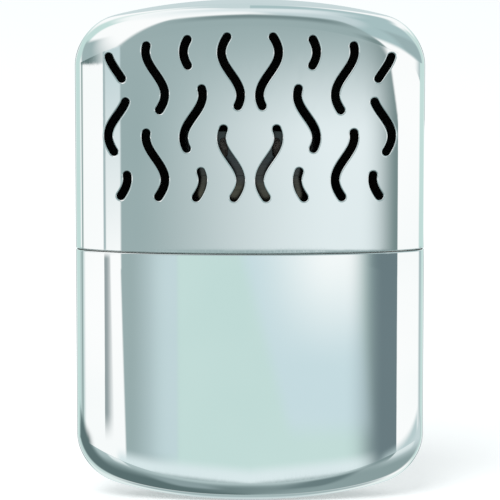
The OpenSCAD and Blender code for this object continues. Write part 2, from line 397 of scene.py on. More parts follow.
@dataclass(frozen=True)
class Fibre(Finish):
    """Matted fibres, such as pressed felt, loose cotton or a coated glass-fibre mat.

    Fine hairs catch light at the edges, and the gaps between them are darker: painted shade in the
    hollows of the hairs' bump, over fibre that is uneven in tone.
    """

    light: str = "#E6E1D4"
    deep_and_gap_shade: str = "#B9B09B"
    hair_width: float = 0.24
    hair_length: float = 1.2
    clump_size: float = 1.5
    depth: float = 0.08
    roughness: float = 0.95
    sheen: float = 0.3
    sheen_roughness: float = 0.5

    def surface(self, tree: Tree, place: Socket) -> Inputs:
        """Adds the clumps and the hairs that swirl through them.

        Args:
            tree: Tree of the material.
            place: Position on the piece.

        Returns:
            The shader's inputs.
        """
        scale = per_mm(self.clump_size)
        clumps = add_node(tree, "TexNoise", {"Vector": place, "Scale": scale, "Detail": 4.0})
        bent = {0: clumps.outputs["Color"], 1: (self.hair_length * MM,) * 3, 2: place}
        swirl = add_node(tree, "VectorMath", bent, operation="MULTIPLY_ADD")
        # Single fibres are too fine to show, so the pattern is as wide as a few of them together.
        strands = {"Vector": swirl, "Scale": per_mm(self.hair_width), "Detail": 6.0, "Roughness": 0.7}
        hairs = add_node(tree, "TexNoise", strands)
        blend = add_node(tree, "Math", {0: hairs, 1: clumps}, operation="MULTIPLY")
        # The darker tone is partly uneven fibre and partly painted shade where the hairs' bump is low.
        colour = add_node(tree, "ValToRGB", {"Fac": blend}, stops=((0.12, self.deep_and_gap_shade), (0.36, self.light)))
        bump = add_node(tree, "Bump", {"Height": hairs, "Distance": self.depth * MM})
        fuzz = {"Sheen Weight": self.sheen, "Sheen Roughness": self.sheen_roughness}
        return {"Base Color": colour, "Roughness": self.roughness, "Normal": bump} | fuzz


class Slot(Enum):
    """Material slots of the record, one for each kind of finish that the finer pieces have."""

    CHROME = "chrome_plate"
    NICKEL = "nickel_plate"
    SOLDER = "solder"
    GAUZE = "wire_gauze"
    FELT = "felt"
    COTTON = "cotton"
    GLASS_FIBRE = "glass_fibre"


# ---- Meshes ----


def unit(vectors: Array) -> Array:
    """Scales each vector to a length of 1."""
    return vectors / np.maximum(np.linalg.norm(vectors, axis=-1, keepdims=True), 1e-12)


def raised(outline: Array, z: float | Array) -> Array:
    """Gives points seen from above, X and Y each, the height z."""
    return np.column_stack([outline, np.broadcast_to(z, len(outline))])


def even_turns(count: int) -> Array:
    """Angles at even steps through a full turn."""
    return np.arange(count) * FULL_TURN / count


def bends(steps: int) -> Array:
    """Angles at even steps through a rounding, from 0 to a quarter turn."""
    return np.linspace(0, math.pi / 2, steps + 1)


def lumps(points: Array, size: float) -> Array:
    """Uneven depths from 0 to 1 at some points, in lumps of a size."""
    return np.array([0.5 + 0.5 * noise.noise(Vector(p) / size) for p in points])


@dataclass
class SheetMesh:
    """Collects the points, normals and faces of one piece, in millimetres.

    Rows may come without normals. Blender then works them out, and keeps the sharp edges.
    """

    points: list[Array] = field(default_factory=list)
    normals: list[Array] = field(default_factory=list)
    faces: list[tuple[int, ...]] = field(default_factory=list)
    finishes: list[int] = field(default_factory=list)
    sharp_angle: float = 40.0

    def add_row(self, points: Array, normals: Array | None = None) -> list[int]:
        """Adds a row of points.

        Args:
            points: One point a line.
            normals: The surface's direction at each point.

        Returns:
            Numbers of the new points.
        """
        first = len(self.points)
        self.points.extend(points)
        self.normals.extend([] if normals is None else normals)
        return list(range(first, len(self.points)))

    def add_face(self, corners: Sequence[int], finish: int = 0, flip: bool = False) -> None:
        """Adds a face, unless its corners fall together.

        Args:
            corners: Numbers of its points, counter-clockwise from outside.
            finish: Which of the piece's materials it takes.
            flip: True to turn it inside out.
        """
        kept = [c for c, before in zip(corners, [corners[-1], *corners[:-1]]) if c != before]
        if len(set(kept)) >= 3:
            self.faces.append(tuple(reversed(kept)) if flip else tuple(kept))
            self.finishes.append(finish)

    def join(self, rows: Rows, finish: int = 0, flip: bool = False, closed: bool = True) -> None:
        """Fills the strip between each row and the next. All have the same length.

        Args:
            rows: Numbers of each row's points, counter-clockwise from above, the lowest row first.
            finish: Which of the piece's materials the strips take.
            flip: True to turn them inside out.
            closed: True where the last point of a row joins its first.
        """
        for low, high in zip(rows, rows[1:]):
            for i in range(len(low) if closed else len(low) - 1):
                n = (i + 1) % len(low)
                self.add_face((low[i], low[n], high[n], high[i]), finish, flip)

    def bridge(self, ring: list[int], flip: bool = False) -> None:
        """Closes a ring that is the same front and back, with strips from its front to its back half.

        Args:
            ring: Numbers of its points, counter-clockwise from above, from the right end on.
            flip: True to face down.
        """
        count = len(ring)
        for k in range(count // 2):
            self.add_face((ring[k], ring[k + 1], ring[count - k - 1], ring[-k]), 0, flip)

    def make(self, name: str, *materials: Material) -> bpy.types.Object:
        """Turns the collected mesh into an object, in metres.

        Args:
            name: The object's name.
            materials: Materials that the faces' finishes stand for.

        Returns:
            The new object.
        """
        mesh = bpy.data.meshes.new(name)
        mesh.from_pydata((np.array(self.points, float) * MM).tolist(), [], self.faces)
        for material in materials:
            mesh.materials.append(material)
        mesh.polygons.foreach_set("material_index", self.finishes)
        mesh.shade_smooth()
        if self.normals:
            mesh.normals_split_custom_set_from_vertices(unit(np.array(self.normals, float)).tolist())
        else:
            mesh.set_sharp_from_angle(angle=math.radians(self.sharp_angle))
        mesh.update()
        made = bpy.data.objects.new(name, mesh)
        bpy.context.scene.collection.objects.link(made)
        return made


def span(node: str) -> tuple[Vector, Vector]:
    """Lowest and highest corner of a CAD node, in millimetres."""
    low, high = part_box(node)
    return Vector(low) / MM, Vector(high) / MM


def settle(
    mesh: SheetMesh, name: str, node: str, body: str, slot: Slot, *materials: Material
) -> bpy.types.Object:
    """Makes a piece and puts it in the place of its CAD node.

    Args:
        mesh: The piece's finished mesh.
        name: The piece's name.
        node: The CAD node that it stands for.
        body: The CAD body that it moves with.
        slot: Not used.
        materials: Materials that the faces' finishes stand for.

    Returns:
        The piece.
    """
    piece = mesh.make(name, *materials)
    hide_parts(node)
    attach(piece, body)
    LOG.info("%s: %d faces", piece.name, len(piece.data.polygons))
    return piece


def dress(node: str, material: Material) -> None:
    """Gives a CAD node that stays in view its material.

    Args:
        node: The node's name.
        material: Its new material.
    """
    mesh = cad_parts[node].data
    mesh.materials.clear()
    mesh.materials.append(material)
    LOG.info("%s: dressed", node)


# ---- Punched holes ----


@dataclass(frozen=True)
class RoundSlot:
    """A hole with round ends, which a punch cuts along a line in a flat or unrolled sheet.

    A line of one point makes a round hole.
    """

    line: Array
    half: float
    cap_steps: int = 8

    def outline(self) -> tuple[Array, Array]:
        """Works out the middle point and the outward direction behind each point of the hole's edge.

        Returns:
            The points of the line, and the directions away from them, counter-clockwise.
        """
        if len(self.line) == 1:
            angles = even_turns(2 * self.cap_steps)
            away = np.column_stack([np.cos(angles), np.sin(angles)])
            return np.repeat(self.line, len(angles), axis=0), away
        along = unit(np.gradient(self.line, axis=0))
        right = np.column_stack([along[:, 1], -along[:, 0]])
        turns = np.arange(1, self.cap_steps) * math.pi / self.cap_steps
        far_cap = np.outer(np.cos(turns), right[-1]) + np.outer(np.sin(turns), along[-1])
        near_cap = -np.outer(np.cos(turns), right[0]) - np.outer(np.sin(turns), along[0])
        far, near = (np.repeat(self.line[i][None], len(turns), axis=0) for i in (-1, 0))
        middles = np.concatenate([self.line, far, self.line[::-1], near])
        return middles, np.concatenate([right, far_cap, -right[::-1], near_cap])

    def distance(self, points: Array) -> Array:
        """Measures how far points lie from the hole's edge.

        Args:
            points: Flat position of each point.

        Returns:
            Their distances, negative inside the hole.
        """
        ends = self.line if len(self.line) > 1 else np.repeat(self.line, 2, axis=0)
        start = ends[:-1]
        step = ends[1:] - start
        gap = points[:, None, :] - start[None]
        share = np.clip((gap * step).sum(-1) / np.maximum((step * step).sum(-1), 1e-12), 0, 1)
        return np.linalg.norm(gap - share[..., None] * step, axis=-1).min(axis=1) - self.half


@dataclass(frozen=True)
class EdgeRoll:
    """How a punch rolls the metal in round a hole.

    Each step is its distance from the hole's edge, its depth, and the surface's tilt in degrees.
    """

    steps: tuple[tuple[float, float, float], ...] = (
        (0.3, 0.0, 0.0),
        (0.14, 0.03, 24.0),
        (0.04, 0.1, 58.0),
        (0.0, 0.2, 88.0),
    )


@dataclass
class PunchedPatch:
    """Fills a part of a sheet with a triangle mesh that has punched holes, on both skins."""

    sheet: SheetMesh
    place: Place
    wall: float
    roll: EdgeRoll = EdgeRoll()
    clearance: float = 0.25
    nudge: float = 0.01

    def fill(
        self, border: Array, skins: Sequence[list[int]], inside: Array, holes: Sequence[RoundSlot]
    ) -> None:
        """Adds the patch to the sheet.

        Args:
            border: Flat position of each point round the patch, counter-clockwise.
            skins: Numbers of the border's points on the outer skin and on the inner one.
            inside: Flat positions that the triangles may use between the holes.
            holes: The holes to leave open.
        """
        flat = [border]
        outer, inner = list(skins[0]), list(skins[1])
        edges = [(i, (i + 1) % len(border)) for i in range(len(border))]
        rims = []
        for hole in holes:
            middles, away = hole.outline()
            count = len(middles)
            for reach, depth, tilt in self.roll.steps:
                ring = middles + away * (hole.half + reach)
                first = sum(len(f) for f in flat)
                edges += [(first + i, first + (i + 1) % count) for i in range(count)]
                points, normals = self.place(ring)
                beside, _ = self.place(ring - away * self.nudge)
                turn = math.radians(tilt)
                tilted = unit(normals * math.cos(turn) + unit(beside - points) * math.sin(turn))
                outer += self.sheet.add_row(points - normals * depth, tilted)
                inner += self.sheet.add_row(points - normals * self.wall, -normals)
                flat.append(ring)
            rims.append(range(first, first + count))
        clear = np.full(len(inside), True)
        for hole in holes:
            clear &= hole.distance(inside) > self.roll.steps[0][0] + self.clearance
        flat.append(inside[clear])
        points, normals = self.place(inside[clear])
        outer += self.sheet.add_row(points, normals)
        inner += self.sheet.add_row(points - normals * self.wall, -normals)
        self.triangulate(np.concatenate(flat), edges, (outer, inner), list(zip(holes, rims)))

    def triangulate(
        self,
        flat: Array,
        edges: list[tuple[int, int]],
        skins: tuple[list[int], list[int]],
        holes: list[tuple[RoundSlot, range]],
    ) -> None:
        """Joins the flat points with triangles and carries these over to both skins.

        Args:
            flat: Flat position of every point.
            edges: Pairs of points that the triangles keep as edges.
            skins: Number of each point on the outer skin and on the inner one.
            holes: Each hole with the points of its edge.
        """
        outer, inner = skins
        _, _, faces, origins, _, _ = delaunay_2d_cdt([Vector(p) for p in flat], edges, [], 0, 1e-7)
        source = [o[0] for o in origins]
        ring_of = {i: number for number, (_, rim) in enumerate(holes) for i in rim}
        for face in faces:
            corners = [source[c] for c in face]
            rings = {ring_of.get(c, -1) for c in corners}
            middle = flat[corners].mean(axis=0)[None]
            if len(rings) == 1 and -1 not in rings and holes[rings.pop()][0].distance(middle)[0] < 0:
                continue
            a, b = flat[corners[1]] - flat[corners[0]], flat[corners[2]] - flat[corners[0]]
            clockwise = a[0] * b[1] - a[1] * b[0] < 0
            self.sheet.add_face([outer[c] for c in corners], 0, clockwise)
            self.sheet.add_face([inner[c] for c in corners], 1, not clockwise)
        for _, rim in holes:
            self.sheet.join([[skin[c] for c in rim] for skin in skins], 1)


# ---- Outlines ----


@dataclass(frozen=True)
class OvalForm:
    """The flat oval body with arched ends that both shells share."""

    half_w: float
    half_d: float
    arch_r: float = 130.0
    face_r: float = 4.0
    side_r: float = 8.0
    spine: float = 22.0
    deepest: float = 0.9

    def wall(self, t: Array, inset: float = 0.0) -> tuple[Array, Array]:
        """Works out the upright wall as seen from above.

        Args:
            t: Angles round the oval.
            inset: Distance inwards, square to the wall.

        Returns:
            X and Y of each point, and the outward direction there.
        """
        away = unit(np.column_stack([self.half_d * np.cos(t), self.half_w * np.sin(t)]))
        return np.column_stack([self.half_w * np.cos(t), self.half_d * np.sin(t)]) - inset * away, away

    def rounding(self, share: Array) -> Array:
        """Rounding radius at a share of the half width."""
        return self.face_r + (self.side_r - self.face_r) * np.abs(share) ** 3

    def arch(self, x: Array, inset: float = 0.0) -> Array:
        """Fall of the arched end at distance x from the middle."""
        radius = self.arch_r - inset
        return radius - np.sqrt(radius**2 - x**2)

    def crown(self, t: Array, turn: float, height: float, inset: float = 0.0) -> Array:
        """Works out one row of the rounded end.

        Args:
            t: Angles round the oval.
            turn: Angle through the rounding, from 0 at the wall to a quarter turn at the arch.
            height: Height of the end over the rim.
            inset: Wall thickness for the inner skin, 0 for the outer one.

        Returns:
            X, Y and height over the rim of each point.
        """
        wall, _ = self.wall(t, inset)
        inner = np.column_stack([self.spine * np.cos(t), np.zeros(len(t))])
        reach = np.linalg.norm(wall - inner, axis=1)
        radius = np.minimum(self.rounding(np.cos(t)) - inset, self.deepest * reach)
        row = wall + (inner - wall) * (radius * (1 - math.cos(turn)) / reach)[:, None]
        return raised(row, height - inset - self.arch(row[:, 0], inset) - radius * (1 - math.sin(turn)))

    def crown_normals(self, t: Array, turn: float, height: float, inset: float = 0.0) -> Array:
        """Works out the surface's directions at a row of the rounded end, from its slopes.

        Args:
            t: Angles round the oval.
            turn: Angle through the rounding.
            height: Height of the end over the rim.
            inset: Wall thickness for the inner skin, 0 for the outer one.

        Returns:
            The direction at each point of the row.
        """
        step = 1e-4
        along = self.crown(t + step, turn, height, inset) - self.crown(t - step, turn, height, inset)
        up = self.crown(t, turn + step, height, inset) - self.crown(t, turn - step, height, inset)
        return unit(np.cross(along, up))


@dataclass(frozen=True)
class Stadium:
    """Outline with two straight sides and two round ends, as seen from above."""

    straight: float
    radius: float

    def eighth(self) -> float:
        """Length of an eighth of a circle on its ends."""
        return self.radius * math.pi / 4

    def length(self) -> float:
        """Length of the outline."""
        return 2 * self.straight + FULL_TURN * self.radius

    def at(self, along: Array) -> tuple[Array, Array]:
        """Finds points on the outline. It starts halfway round the front part of the right end.

        Args:
            along: Distances along the outline, counter-clockwise.

        Returns:
            X and Y of each point, and the outward direction there.
        """
        eighth, side, reach = self.eighth(), self.straight, self.straight / 2
        knots = np.cumsum([0, 3 * eighth, side, 4 * eighth, side, eighth])
        angle = np.interp(along, knots, np.array([-1, 2, 2, 6, 6, 7]) * math.pi / 4)
        middle = np.interp(along, knots, [reach, reach, -reach, -reach, reach, reach])
        away = np.column_stack([np.cos(angle), np.sin(angle)])
        return self.radius * away + np.column_stack([middle, np.zeros(len(along))]), away

    def loop(self, count: int) -> tuple[Array, Array]:
        """Points and outward directions at even steps, from the tip of the right end on."""
        return self.at((self.eighth() + np.arange(count) * self.length() / count) % self.length())


@dataclass(frozen=True)
class Section:
    """Cross-section of a band, whose corners are rounded. Each corner is (outwards, height, radius)."""

    corners: tuple[tuple[float, float, float], ...]
    steps: int = 5

    @classmethod
    def strip(cls, inner: float, outer: float, low: float, high: float, edge: float) -> "Section":
        """Section of a flat strip with softened edges, from inner to outer and from low to high."""
        return cls(tuple((*c, edge) for c in ((inner, low), (outer, low), (outer, high), (inner, high))))

    def rounded(self) -> tuple[Array, Array]:
        """Rounds the corners.

        Returns:
            Points of the section, counter-clockwise, and their outward directions.
        """
        points, normals = [], []
        count = len(self.corners)
        for i, (out, z, radius) in enumerate(self.corners):
            here = np.array([out, z])
            before = unit(here - np.array(self.corners[i - 1][:2]))
            after = unit(np.array(self.corners[(i + 1) % count][:2]) - here)
            bend = math.atan2(before[0] * after[1] - before[1] * after[0], float(before @ after))
            setback = radius * math.tan(abs(bend) / 2)
            side = np.array([before[1], -before[0]]) * math.copysign(1.0, bend)
            centre = here - before * setback - side * radius
            for turn in np.linspace(0, bend, self.steps + 1):
                across = np.array([-side[1], side[0]])
                spun = side * math.cos(turn) + across * math.sin(turn)
                points.append(centre + spun * radius)
                normals.append(spun * math.copysign(1.0, bend))
        return np.array(points), np.array(normals)

    def sweep(self, outline: Array, away: Array, wobble: Array | float = 0.0) -> SheetMesh:
        """Carries the section round an outline.

        Args:
            outline: X and Y of each point of the outline, counter-clockwise.
            away: Outward direction at each of them.
            wobble: Extra outward distance at each of them, for a band that was laid by hand.

        Returns:
            The band's mesh.
        """
        section, directions = self.rounded()
        shares = (section[:, 0] - section[:, 0].min()) / np.ptp(section[:, 0])
        mesh = SheetMesh()
        rows = []
        for (out, z), (n_out, n_z), share in zip(section, directions, shares):
            reach = np.broadcast_to(out + share * wobble, len(outline))
            rows.append(mesh.add_row(raised(outline + away * reach[:, None], z), raised(away * n_out, n_z)))
        mesh.join([*rows, rows[0]])
        return mesh


# ---- Drawn shells ----


@dataclass
class DrawnShell:
    """One deep-drawn half of the body, which opens at the seam.

    The slots are cut in the patch, which is given by the first and the last of its columns of points.
    """

    form: OvalForm
    rim: float
    height: float
    upwards: bool
    wall: float = 0.5
    rim_round: float = 0.22
    columns: int = 240
    wall_rows: int = 22
    crown_rows: int = 18
    rim_rows: int = 4
    lid_rows: int = 6
    foot: float = 0.0
    slots: list[RoundSlot] = field(default_factory=list)
    patch: tuple[int, int] | None = None

    def set_up(self, points: Array, normals: Array) -> tuple[Array, Array]:
        """Turns heights over the rim into heights in the frame, and grinds the foot flat.

        Args:
            points: X, Y and height over the rim.
            normals: Directions in the same sense.

        Returns:
            Points and directions in the frame.
        """
        sense = 1.0 if self.upwards else -1.0
        points = points * (1, 1, sense) + (0, 0, self.rim)
        normals = normals * (1, 1, sense)
        if not self.upwards:
            ground = points[:, 2] < self.foot
            points[ground, 2] = self.foot
            normals[ground] = (0, 0, -1)
        return points, normals

    def add(self, mesh: SheetMesh, points: Array, normals: Array) -> list[int]:
        """Adds a row that is given by its heights over the rim."""
        return mesh.add_row(*self.set_up(points, normals))

    def wall_levels(self, t: Array) -> Array:
        """Works out the heights of the wall's rows.

        Args:
            t: Angles round the oval.

        Returns:
            Heights over the rim at each angle, one row a line.
        """
        top = self.form.crown(t, 0.0, self.height)[:, 2]
        shares = np.arange(self.wall_rows + 1) / self.wall_rows
        return self.rim_round + np.outer(shares, top - self.rim_round)

    def skin(self, mesh: SheetMesh, inset: float) -> tuple[Rows, Rows, Rows]:
        """Adds the rows of one skin.

        Args:
            mesh: Mesh that takes them.
            inset: 0 for the outer skin, or the wall for the inner one.

        Returns:
            The rows of the rim's rounding, of the wall and of the crown.
        """
        t = even_turns(self.columns)
        facing = -1.0 if inset else 1.0
        rim_rows, crown_rows = [], []
        for turn in bends(self.rim_rows)[:-1]:
            corner = self.rim_round * (1 - math.sin(turn))
            outline, away = self.form.wall(t, inset - corner if inset else corner)
            normals = raised(away * facing * math.sin(turn), -math.cos(turn))
            level = self.rim_round * (1 - math.cos(turn))
            rim_rows.append(self.add(mesh, raised(outline, level), normals))
        outline, away = self.form.wall(t, inset)
        normals = raised(away * facing, 0.0)
        wall_rows = [self.add(mesh, raised(outline, level), normals) for level in self.wall_levels(t)]
        for turn in bends(self.crown_rows)[1:]:
            points = self.form.crown(t, turn, self.height, inset)
            normals = facing * self.form.crown_normals(t, turn, self.height, inset)
            crown_rows.append(self.add(mesh, points, normals))
        return rim_rows, wall_rows, crown_rows

    def lid(self, mesh: SheetMesh, last: list[int], inset: float, finish: int) -> None:
        """Closes a skin across its arch, from the back row to the front row.

        Args:
            mesh: Mesh that takes it.
            last: The crown's last row.
            inset: 0 for the outer skin, or the wall for the inner one.
            finish: Which of the piece's materials it takes.
        """
        half = self.columns // 2
        back = last[: half + 1]
        front = [last[-i] for i in range(half + 1)]
        x, y_back, _ = np.array([mesh.points[i] for i in back]).T
        radius = self.form.arch_r - inset
        slope = np.column_stack([x / radius, np.zeros(len(x)), np.sqrt(1 - (x / radius) ** 2)])
        level = self.height - inset - self.form.arch(x, inset)
        rows = [back]
        for k in range(1, self.lid_rows):
            y = y_back * (1 - 2 * k / self.lid_rows)
            row = self.add(mesh, np.column_stack([x, y, level]), slope * (-1.0 if inset else 1.0))
            rows.append([back[0], *row[1:-1], back[-1]])
        mesh.join([*rows, front], finish, flip=(inset > 0) != (not self.upwards), closed=False)

    def build(self) -> SheetMesh:
        """Builds the shell.

        Returns:
            Its mesh, with finish 0 outside and finish 1 inside.
        """
        mesh = SheetMesh()
        outer = self.skin(mesh, 0.0)
        inner = self.skin(mesh, self.wall)
        for finish, (rim_rows, wall_rows, crown_rows) in enumerate((outer, inner)):
            flip = (finish == 1) != (not self.upwards)
            mesh.join([*rim_rows, wall_rows[0]], finish, flip)
            self.join_wall(mesh, wall_rows, finish, flip)
            mesh.join([wall_rows[-1], *crown_rows], finish, flip)
            self.lid(mesh, crown_rows[-1], self.wall if finish else 0.0, finish)
        mesh.join([outer[0][0], inner[0][0]], 0, flip=self.upwards)
        if self.patch:
            self.punch(mesh, outer[1], inner[1])
        return mesh

    def join_wall(self, mesh: SheetMesh, rows: Rows, finish: int, flip: bool) -> None:
        """Joins the wall's rows, but leaves the patch open.

        Args:
            mesh: The shell's mesh.
            rows: Rows of the wall.
            finish: Which of the piece's materials they take.
            flip: True to turn them inside out.
        """
        if self.patch:
            first, last = self.patch
            solid = [i % self.columns for i in range(last, first + self.columns + 1)]
            rows = [[row[i] for i in solid] for row in rows]
        mesh.join(rows, finish, flip, closed=not self.patch)

    def punch(self, mesh: SheetMesh, outer: Rows, inner: Rows) -> None:
        """Fills the open patch with metal round the slots.

        Args:
            mesh: The shell's mesh.
            outer: Rows of the outer wall.
            inner: Rows of the inner wall.
        """
        first, last = self.patch
        bottom = [(0, i) for i in range(first, last)]
        right = [(j, last) for j in range(self.wall_rows)]
        top = [(self.wall_rows, i) for i in range(last, first, -1)]
        left = [(j, first) for j in range(self.wall_rows, 0, -1)]
        loop = bottom + right + top + left
        middle = [(j, i) for j in range(1, self.wall_rows) for i in range(first + 1, last)]
        t = even_turns(self.columns)
        levels = self.wall_levels(t)
        x = self.form.half_w * np.cos(t)
        border, inside = (np.array([[x[i], levels[j, i]] for j, i in part]) for part in (loop, middle))
        skins = [[rows[j][i] for j, i in loop] for rows in (outer, inner)]
        PunchedPatch(mesh, self.place_on_wall, self.wall).fill(border, skins, inside, self.slots)

    def place_on_wall(self, flat: Array) -> tuple[Array, Array]:
        """Puts positions seen from the front on the front wall.

        Args:
            flat: X and height over the rim of each position.

        Returns:
            The points and the outward directions there.
        """
        outline, away = self.form.wall(-np.arccos(flat[:, 0] / self.form.half_w))
        return self.set_up(raised(outline, flat[:, 1]), raised(away, 0.0))


@dataclass(frozen=True)
class VentPattern:
    """Rising, S-shaped slots in mirrored columns, as warm air would drift."""

    bottom: float
    width: float = 1.6
    pitch: float = 7.5
    side_columns: int = 4
    rows: int = 2
    land: float = 3.0
    swing: float = 1.9
    wave: float = 17.0
    margin: float = 1.4
    step: float = 0.5

    def slots(self, form: OvalForm, top: float, rim: float) -> list[RoundSlot]:
        """Lays out the slots.

        Args:
            form: The body's form, whose arch the columns follow.
            top: Height of the top of the body.
            rim: Height that the slots' heights are counted from.

        Returns:
            The slots, as seen from the front.
        """
        made = []
        for column in range(self.side_columns):
            x = (column + 0.5) * self.pitch
            length = top - form.arch(x) - form.rounding(x / form.half_w) - self.margin - self.bottom
            shift = column % 2 / 2
            for k in range(self.rows + math.ceil(shift)):
                from_row = max(0, k - shift)
                to_row = min(self.rows, k + 1 - shift)
                low = from_row / self.rows * length + (self.land / 2 if from_row > 0 else 0)
                high = to_row / self.rows * length - (self.land / 2 if to_row < self.rows else 0)
                if high - low > self.width:
                    made += [self.slot(side, x, low, high, rim) for side in (-1, 1)]
        return made

    def slot(self, side: int, x: float, low: float, high: float, rim: float) -> RoundSlot:
        """Makes one slot.

        Args:
            side: -1 in the left half and 1 in the right half.
            x: Distance of its column from the middle.
            low: Its lower end, over the foot of the pattern.
            high: Its upper end, over the foot of the pattern.
            rim: Height that the result's heights are counted from.

        Returns:
            The slot.
        """
        ends = (low + self.width / 2, high - self.width / 2)
        z = np.linspace(*ends, max(2, round((ends[1] - ends[0]) / self.step) + 1))
        swung = x - self.swing * np.sin(FULL_TURN * z / self.wave)
        return RoundSlot(np.column_stack([side * swung, z + self.bottom - rim]), self.width / 2)


@dataclass
class Body:
    """The vented cover and the tank shell, which meet at the seam.

    The slots are cut in a patch of the cover's wall, half of whose columns lie on each side of the front.
    """

    form: OvalForm
    vent_foot: float = 1.0
    foot_cut: float = 0.1
    patch_half: int = 42

    def build(self) -> None:
        """Builds and dresses both shells."""
        low, high = span("vented_cover")
        seam = span("tank_shell")[1].z
        # The inside finish is near black, partly as painted shade that the slots and the seam show.
        finishes = (BrightChrome().material(), StainedAndShadedMetal().material())
        slots = VentPattern(span("top_plate")[1].z + self.vent_foot).slots(self.form, high.z, low.z)
        front = 3 * DrawnShell.columns // 4
        patch = (front - self.patch_half, front + self.patch_half)
        cover = DrawnShell(self.form, low.z, high.z - low.z, upwards=True, slots=slots, patch=patch)
        tank = DrawnShell(self.form, seam, seam + self.foot_cut, upwards=False)
        for node, shell, body in (("vented_cover", cover, "cover"), ("tank_shell", tank, "tank")):
            settle(shell.build(), f"{node}_drawn", node, body, Slot.CHROME, *finishes)


# ---- Tank top ----


@dataclass
class TankTop:
    """The collar, the plate that closes the tank on it, the filler neck, and the solder that seals them."""

    form: OvalForm
    neck: Stadium
    neck_wall: float = 0.4
    flange: float = 1.5
    flange_thickness: float = 0.4
    flange_round: float = 0.12
    lip: float = 0.15
    lip_height: float = 0.5
    lip_fold: float = 0.3
    lip_round: float = 0.2
    bend_round: float = 0.1
    edge: float = 0.14
    groove_inset: float = 1.7
    groove_half: float = 0.45
    groove_depth: float = 0.16
    groove_land: float = 0.225
    bead_sink: float = 0.03
    bead_round: float = 0.05
    bead_tip: float = 0.01
    bead_wander: float = 0.04
    bead_waves: tuple[int, ...] = (7, 17, 31)
    steps: int = 240
    edge_steps: int = 6
    groove_steps: int = 8
    plate_rings: int = 4
    seed: int = 5

    def build(self) -> None:
        """Builds and dresses the pieces."""
        nickel = SatinNickel().material()
        solder = SoftSolder().material()
        settle(self.collar(), "tank_collar_band", "tank_collar", "tank", Slot.NICKEL, nickel)
        settle(self.plate(), "top_plate_pressed", "top_plate", "tank", Slot.NICKEL, nickel)
        settle(self.filler(), "filler_neck_drawn", "filler_neck", "tank", Slot.NICKEL, nickel)
        settle(self.bead(), "neck_solder_bead", "neck_solder", "tank", Slot.SOLDER, solder)
        dress("collar_solder", solder)
        dress("plate_solder", solder)
        dress("screen_ring", nickel)

    def collar(self) -> SheetMesh:
        """Sweeps the collar's band, with softened edges.

        Returns:
            The band's mesh.
        """
        low, high = span("tank_collar")
        outer = high.x - self.form.half_w
        inner = span("plate_solder")[1].x - self.form.half_w
        band = Section.strip(inner, outer, low.z, high.z, self.edge)
        return band.sweep(*self.form.wall(even_turns(self.steps)))

    def plate(self) -> SheetMesh:
        """Presses the top plate, with a stiffening groove near its edge.

        Returns:
            The plate's mesh, open where the neck stands.
        """
        low, high = span("top_plate")
        inset = self.form.half_w - high.x
        hole, _ = self.neck.loop(self.steps)
        tip = self.neck.straight / 2 + self.neck.radius
        turn = np.arctan2(hole[:, 1] / self.neck.radius, hole[:, 0] / tip)
        mesh = SheetMesh()
        rings = [(hole, low.z)]
        for k in range(self.edge_steps + 1):
            angle = math.pi * (k / self.edge_steps - 0.5)
            centre = low.z + self.edge if angle < 0 else high.z - self.edge
            ring, _ = self.form.wall(turn, inset + self.edge * (1 - math.cos(angle)))
            rings.append((ring, centre + self.edge * math.sin(angle)))
        for share in np.linspace(-1, 1, self.groove_steps + 1):
            ring, _ = self.form.wall(turn, self.groove_inset + share * self.groove_half)
            rings.append((ring, high.z - self.groove_depth * (1 + math.cos(math.pi * share)) / 2))
        last, _ = self.form.wall(turn, self.groove_inset + self.groove_half + self.groove_land)
        for share in np.linspace(0, 1, self.plate_rings + 1):
            rings.append((last + (hole - last) * share, high.z))
        rows = [mesh.add_row(raised(ring, z)) for ring, z in rings]
        mesh.join([*rows, rows[0]])
        return mesh

    def filler(self) -> SheetMesh:
        """Draws the neck up from its flange and turns its lip inwards.

        Returns:
            The neck's mesh.
        """
        low, high = span("filler_neck")
        shoulder = low.z + self.flange_thickness
        roll = self.neck_wall + self.lip
        corners = (
            (-self.neck_wall, low.z, self.flange_round),
            (self.flange, low.z, self.flange_round),
            (self.flange, shoulder, self.flange_round),
            (0.0, shoulder, self.bend_round),
            (0.0, high.z, self.lip_round),
            (-roll, high.z, self.lip_round),
            (-roll, high.z - self.lip_fold, self.bend_round),
            (-self.neck_wall, high.z - self.lip_height, self.bend_round),
        )
        return Section(corners).sweep(*self.neck.loop(self.steps))

    def bead(self) -> SheetMesh:
        """Lays the solder round the neck, with the small waves that a hand leaves.

        Returns:
            The bead's mesh.
        """
        low, high = span("neck_solder")
        width = high.y - self.neck.radius
        random = np.random.default_rng(self.seed)
        turns = even_turns(self.steps)
        waves = [np.sin(turns * n + random.uniform(0, FULL_TURN)) for n in self.bead_waves]
        wobble = self.bead_wander * sum(waves) / len(waves)
        corners = (
            (-self.bead_sink, low.z, self.bead_tip),
            (width, low.z, self.bead_round),
            (-self.bead_sink, high.z, self.bead_round),
        )
        return Section(corners).sweep(*self.neck.loop(self.steps), wobble)


# ---- Soft filling ----


